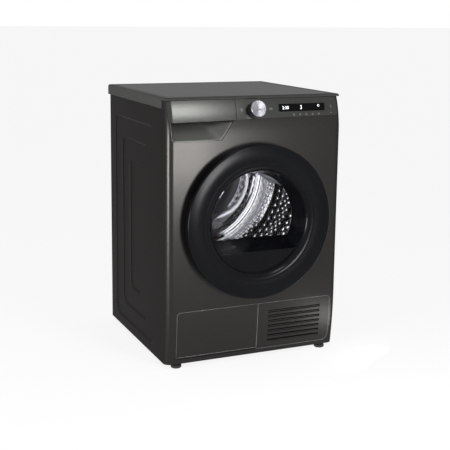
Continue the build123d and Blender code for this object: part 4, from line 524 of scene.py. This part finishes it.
# Felt fibres, drawn at 0.8 mm.
felt, *_ = toned("wool_felt", {"Roughness": 0.95, "Sheen Weight": 0.3}, 1200.0, 5.0,
                 ("#b9b8b6", "#d2d1cf"))
dress(felt, "drum_felt_seals")
dress(moulded("white_acetal", "#c9c8c2", 0.35), "front_left_roller", "front_right_roller",
      "rear_left_roller", "rear_right_roller", "idler_pulley")


# ---- screws --------------------------------------------------------------------------
# Zinc-plated pan-head screws of 4 mm with a socket, driven through the rear sheets into the side
# panels, the top rails, the base and the air duct's bosses.
plated, *_ = toned("bright_zinc_plate", {"Metallic": 1.0, "Roughness": 0.28}, 600.0, 2.0,
                   ("#a9acae", "#c9cccd"))
# Half section of the head, in mm: distance from the axis, and height over the sheet.
HEAD = ((0, 0.6), (1.3, 0.6), (1.6, 2.2), (2.6, 2.1), (3.6, 1.5), (4.1, 0.6), (4.2, -0.2))
SIDE_SCREWS, EDGE_SCREWS = 6, 4
DUCT_SCREWS, DUCT_FIRST, DUCT_TURN = 7, -30, 40     # degrees, round the duct cover's disc
INSET = 9 * MM
head = bmesh.new()
lathe(head, HEAD, (0, 0, 0), steps=18)
bmesh.ops.remove_doubles(head, verts=head.verts, dist=1e-6)
outward(head, 1)
head_mesh = bpy.data.meshes.new("screw_head")
head.to_mesh(head_mesh)
head.free()
low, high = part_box("rear_panel")
side_pitch = (high.z - low.z - 2 * INSET) / (SIDE_SCREWS - 1)
edge_pitch = (high.x - low.x) / (EDGE_SCREWS + 1)
driven = [(x, low.z + INSET + side_pitch * step, "rear_panel")
          for x in (low.x + INSET, high.x - INSET) for step in range(SIDE_SCREWS)]
driven += [(low.x + edge_pitch * (step + 1), z, "rear_panel")
           for z in (low.z + INSET, high.z - INSET) for step in range(EDGE_SCREWS)]
duct_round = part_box("rear_duct_cover")[1].x - INSET
for step in range(DUCT_SCREWS):
    angle = math.radians(DUCT_FIRST + DUCT_TURN * step)
    driven.append((math.cos(angle) * duct_round, drum_centre.z + math.sin(angle) * duct_round,
                   "rear_duct_cover"))
screws = bmesh.new()
for x, z, sheet in driven:
    met, at, _, _ = nodes[sheet].ray_cast(Vector((x, high.y + OFF_PART, z)), Vector((0, -1, 0)))
    if met:
        bmesh.ops.translate(screws, verts=stamp(screws, head_mesh), vec=at)
place_piece("rear_screws", screws, plated, "cabinet", smooth=True)


# ---- drive, pump and fans ------------------------------------------------------------
# Motor of stacked laminations with a machined rotor, fans of nylon, and housings, covers and pump of
# black polypropylene, all moulded. The two levers that lock the exchangers' cover are blue-grey.
machined, tree, shader, place = finish("machined_steel", {"Metallic": 1.0, "Roughness": 0.35})
# Laminations are 0.5 mm thick, drawn at 4 mm.
stack = add(tree, "ShaderNodeTexWave", {"wave_type": "BANDS", "bands_direction": "Y", "Scale": 80.0},
            {"Vector": place})
add(tree, "ShaderNodeValToRGB", {"stops": [(0.0, "#8d8d8f"), (1.0, "#adadb0")]},
    {"Fac": stack.outputs["Fac"]}, {"Color": shader.inputs["Base Color"]})
dress(machined, "motor_stator", "motor_rotor")
dress(moulded("black_polypropylene", "#26272a", 0.5), "base_housing", "base_cover", "exchanger_cover",
      "blower_housing", "fan_shroud", "condensate_pump", "tank_shelf", "door_catch", "main_board",
      "mains_inlet")
dress(moulded("dark_grey_nylon", "#3c3e42", 0.45), "blower_fan", "cooling_fan")
dress(moulded("blue_grey_nylon", "#54606e", 0.4), "left_cover_lever", "right_cover_lever")


# ---- heat pump -----------------------------------------------------------------------
# Compressor shell in black enamel, two aluminium fin packs and drawn copper pipes. The enamel has the
# faint orange peel of a thick coat, and the copper is tarnished in patches.
enamel, tree, shader, place = finish(
    "black_enamel", {"Roughness": 0.25, "IOR": 1.5, "Coat Weight": 0.3})
peel = add(tree, "ShaderNodeTexNoise", {"Scale": 350.0}, {"Vector": place})
add(tree, "ShaderNodeBump", {"Strength": 0.15, "Distance": 0.2 * MM}, {"Height": peel.outputs["Fac"]},
    {"Normal": shader.inputs["Normal"]})
shader.inputs["Base Color"].default_value = linear("#17181a")
dress(enamel, "compressor")
fins, *_ = toned("bare_aluminium_fins", {"Metallic": 1.0, "Roughness": 0.35}, 200.0, 3.0,
                 ("#b5b7b9", "#cdcfd1"))
dress(fins, "heat_exchangers")
copper, *_ = toned("drawn_copper", {"Metallic": 1.0, "Roughness": 0.3}, 60.0, 3.0,
                   ("#a9653f", "#c98a63"))
dress(copper, "refrigerant_pipes")


# ---- tank and board ------------------------------------------------------------------
# Blow-moulded tank of natural polyethylene, milky, which slides out with the drawer's front. The
# control board behind the band is an epoxy laminate under a green mask.
dress(moulded("natural_polyethylene", "#c6cbcd", 0.4), "water_tank")
dress(moulded("green_solder_mask", "#1f4a33", 0.35), "control_board")


# ---- kick zone -----------------------------------------------------------------------
# Access flap at the left and ventilation grille at the right, let into the foot of the front. Both are
# moulded ABS, lacquered to match the steel.
lacquered, *_ = toned(
    "graphite_lacquered_abs",
    {"Metallic": 0.85, "Roughness": 0.36, "Specular Tint": EDGE_GREY, "Specular IOR Level": 0.2},
    1.0, 3.0, GRAPHITE, stretch=FINE_GRAIN)
dress(lacquered, "access_flap", "grille_panel")

# The beads along the joints get a paler lacquer than the face around them. This is a painted highlight,
# added to the light that their rounded section catches.
painted_highlight_edge, *_ = toned(
    "edge_lacquer_painted_highlight", {"Metallic": 0.7, "Roughness": 0.4, "Specular Tint": EDGE_GREY},
    30.0, 3.0, ("#5c5c5c", "#747474"))

# The front is flat from 200 mm up to 730 mm, and curves back below and above.
FLAT_LOW, FLAT_HIGH = 200 * MM, 730 * MM
KICK_ROUND, BAND_ROUND = 1366 * MM, 291 * MM
EDGE_RADIUS, EDGE_SUNK = 0.7 * MM, 0.35 * MM
EDGE_PITCH = 25 * MM                                # between the points that follow the front's curve
ARC_PULL, ARC_POINTS = 0.55, 7                      # a Bezier handle of 0.55 draws a quarter circle


def front_y(z):
    """Y of the front's outer surface at a height."""
    below, above = max(FLAT_LOW - z, 0), max(z - FLAT_HIGH, 0)
    lean = KICK_ROUND - math.sqrt(KICK_ROUND ** 2 - below ** 2)
    return front + lean + BAND_ROUND - math.sqrt(BAND_ROUND ** 2 - above ** 2)


def bead(name, corners, body):
    """Rounded edge along a joint in the front, through corners of X, Z and radius in millimetres."""
    path = []
    for index, (x, z, radius) in enumerate(corners):
        at = Vector((x, z)) * MM
        if radius:
            before, after = corners[index - 1], corners[(index + 1) % len(corners)]
            start = at + (Vector(before[:2]) * MM - at).normalized() * radius * MM
            end = at + (Vector(after[:2]) * MM - at).normalized() * radius * MM
            path += interpolate_bezier(start, start.lerp(at, ARC_PULL), end.lerp(at, ARC_PULL), end,
                                       ARC_POINTS)
        else:
            path.append(at)
    dense = []
    for at, after in zip(path, path[1:] + path[:1]):
        parts = max(1, round((after - at).length / EDGE_PITCH))
        dense += [at.lerp(after, part / parts) for part in range(parts)]
    curve = bpy.data.curves.new(name, "CURVE")
    curve.dimensions = "3D"
    curve.bevel_depth = EDGE_RADIUS
    curve.bevel_resolution = 2
    curve.use_fill_caps = True
    spline = curve.splines.new("POLY")
    spline.use_cyclic_u = True
    spline.points.add(len(dense) - 1)
    for point, at in zip(spline.points, dense):
        point.co = (at.x, front_y(at.y) + EDGE_SUNK, at.y, 1)
    # The bead's paler lacquer is a painted highlight.
    curve.materials.append(painted_highlight_edge)
    made = bpy.data.objects.new(name, curve)
    bpy.context.scene.collection.objects.link(made)
    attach(made, body)


FLAP_LEFT, FLAP_RIGHT, FLAP_LOW = -265, 12, 36
GRILLE_LEFT, GRILLE_RIGHT, GRILLE_LOW = 13, 275, 30
KICK_HIGH, UPPER_ROUND, LOWER_ROUND = 185, 12, 22
bead("flap_edge", [(FLAP_LEFT, FLAP_LOW, 0), (FLAP_LEFT, KICK_HIGH, UPPER_ROUND),
                   (FLAP_RIGHT, KICK_HIGH, 0), (FLAP_RIGHT, FLAP_LOW, 0)], "flap")
bead("grille_edge", [(GRILLE_LEFT, KICK_HIGH, 0), (GRILLE_RIGHT, KICK_HIGH, UPPER_ROUND),
                     (GRILLE_RIGHT, GRILLE_LOW, LOWER_ROUND), (GRILLE_LEFT, GRILLE_LOW, 0)], "cabinet")

# Raked blades behind the seven slots hide the inside from view.
SLOT_MIDDLE, SLOT_TOP, SLOT_PITCH, SLOT_COUNT = 144.5 * MM, 157 * MM, 17 * MM, 7
BLADE = (188 * MM, 12 * MM, 4.6 * MM)
BLADE_BACK, BLADE_DROP, BLADE_ROUND = 8.5 * MM, 2.4 * MM, 2 * MM
RAKE = math.radians(20)
blades = bmesh.new()
for row in range(SLOT_COUNT):
    z = SLOT_TOP - SLOT_PITCH * row
    made = bmesh.ops.create_cube(blades, size=1)["verts"]
    bmesh.ops.scale(blades, verts=made, vec=BLADE)
    bmesh.ops.rotate(blades, verts=made, matrix=Matrix.Rotation(RAKE, 3, "X"))
    bmesh.ops.translate(blades, verts=made, vec=(SLOT_MIDDLE, front_y(z) + BLADE_BACK, z - BLADE_DROP))
bmesh.ops.bevel(blades, geom=blades.edges[:], offset=BLADE_ROUND, offset_type="OFFSET", segments=4,
                profile=0.5, affect="EDGES", material=-1)
place_piece("grille_louvres", blades, lacquered, "cabinet")


# ---- studio --------------------------------------------------------------------------
# Plain white floor and background. The outer lamps are softboxes that light the front, the band,
# the grille, the left side and the top; the inside lamps light the drum. No camera sees a lamp.
FLOOR_HALF, FLOOR_UNDER = 60, 0.5 * MM
floor_shape = bmesh.new()
bmesh.ops.create_grid(floor_shape, x_segments=1, y_segments=1, size=FLOOR_HALF)
bmesh.ops.translate(floor_shape, verts=floor_shape.verts, vec=(0, 0, -FLOOR_UNDER))
floor_mesh = bpy.data.meshes.new("floor")
floor_shape.to_mesh(floor_mesh)
floor_shape.free()
floor = bpy.data.objects.new("floor", floor_mesh)
bpy.context.scene.collection.objects.link(floor)


def looked_at(tree):
    """One where the camera looks, straight, through glass or by way of a glossy surface."""
    rays = add(tree, "ShaderNodeLightPath", {}, {}).outputs
    seen = rays["Is Camera Ray"]
    for name in ("Is Transmission Ray", "Is Glossy Ray"):
        either = add(tree, "ShaderNodeMath", {"operation": "MAXIMUM"}, {0: seen, 1: rays[name]})
        seen = either.outputs["Value"]
    return seen


FLOOR_WHITE, WORLD_LEVEL = 0.85, 0.45
paper, tree, shader, _ = finish("white_paper", {"Roughness": 0.9})
shader.inputs["Base Color"].default_value = linear("#ffffff")
white = add(tree, "ShaderNodeEmission", {"Color": (1, 1, 1, 1), "Strength": 1.0}, {})
share = add(tree, "ShaderNodeMath", {"operation": "MULTIPLY"}, {0: looked_at(tree)})
share.inputs[1].default_value = FLOOR_WHITE
add(tree, "ShaderNodeMixShader", {},
    {"Fac": share.outputs["Value"], 1: shader.outputs["BSDF"], 2: white.outputs["Emission"]},
    {"Shader": tree.nodes["Material Output"].inputs["Surface"]})
floor_mesh.materials.append(paper)

world = bpy.data.worlds.new("studio")
bpy.context.scene.world = world
world.use_nodes = True
tree = world.node_tree
soft = tree.nodes["Background"]
soft.inputs["Color"].default_value = (1, 1, 1, 1)
soft.inputs["Strength"].default_value = WORLD_LEVEL
backdrop = add(tree, "ShaderNodeBackground", {"Color": (1, 1, 1, 1), "Strength": 1.0}, {})
add(tree, "ShaderNodeMixShader", {},
    {"Fac": looked_at(tree), 1: soft.outputs["Background"], 2: backdrop.outputs["Background"]},
    {"Shader": tree.nodes["World Output"].inputs["Surface"]})

# Each lamp's name, shape, place, the point that it faces, width, height and power in watts. The drum's
# own lamp is a small diode above the mouth. The light that falls in through the window is a lamp close
# behind the glass, because light doesn't reach far through thick glass in a render.
LAMPS = (
    ("front_softbox", "RECTANGLE", (0.26, -1.7, 0.52), (-0.2, -0.28, 0.65), 0.3, 0.4, 12.5),
    ("band_softbox", "RECTANGLE", (0.10, -1.15, 1.23), (-0.2, -0.26, 0.8), 0.25, 0.3, 4.6),
    ("low_softbox", "RECTANGLE", (0.38, -0.43, 0.02), (0.27, -0.27, 0.12), 0.2, 0.1, 0.45),
    ("left_softbox", "RECTANGLE", (-2.5, -1.1, 0.2), (-0.3, -0.27, 0.5), 1.0, 0.9, 78),
    ("top_softbox", "RECTANGLE", (-0.9, -0.2, 3.0), (-0.2, 0, 0.85), 1.4, 1.4, 8),
    ("drum_lamp", "ELLIPSE", (0.05, -0.16, 0.72), (0.15, 0.24, 0.47), 0.05, 0.05, 0.9),
    ("window_light", "ELLIPSE", (0, -0.222, 0.5), (0, 0.778, 0.5), 0.29, 0.21, 1.0),
)
for name, shape, spot, aim, width, height, power in LAMPS:
    light = bpy.data.lights.new(name, "AREA")
    light.shape = shape
    light.size, light.size_y, light.energy = width, height, power
    lamp = bpy.data.objects.new(name, light)
    lamp.location = spot
    lamp.rotation_euler = (Vector(aim) - Vector(spot)).to_track_quat("-Z", "Y").to_euler()
    lamp.visible_camera = False
    bpy.context.scene.collection.objects.link(lamp)

CAMERA_AT = (-1.2882, -2.9357, 1.1059)
CAMERA_TURN, CAMERA_DOWN, CAMERA_ROLL = math.radians(-23.915), math.radians(10.553), math.radians(0.679)
lens = bpy.data.cameras.new("view")
lens.lens = 76.84
lens.sensor_width = 36
lens.shift_y = -0.0778
camera = bpy.data.objects.new("view", lens)
camera.matrix_world = (Matrix.Translation(CAMERA_AT) @ Matrix.Rotation(CAMERA_TURN, 4, "Z")
                       @ Matrix.Rotation(math.pi / 2 - CAMERA_DOWN, 4, "X")
                       @ Matrix.Rotation(CAMERA_ROLL, 4, "Z"))
bpy.context.scene.collection.objects.link(camera)
bpy.context.scene.camera = camera
bpy.context.scene.view_settings.view_transform = "Standard"
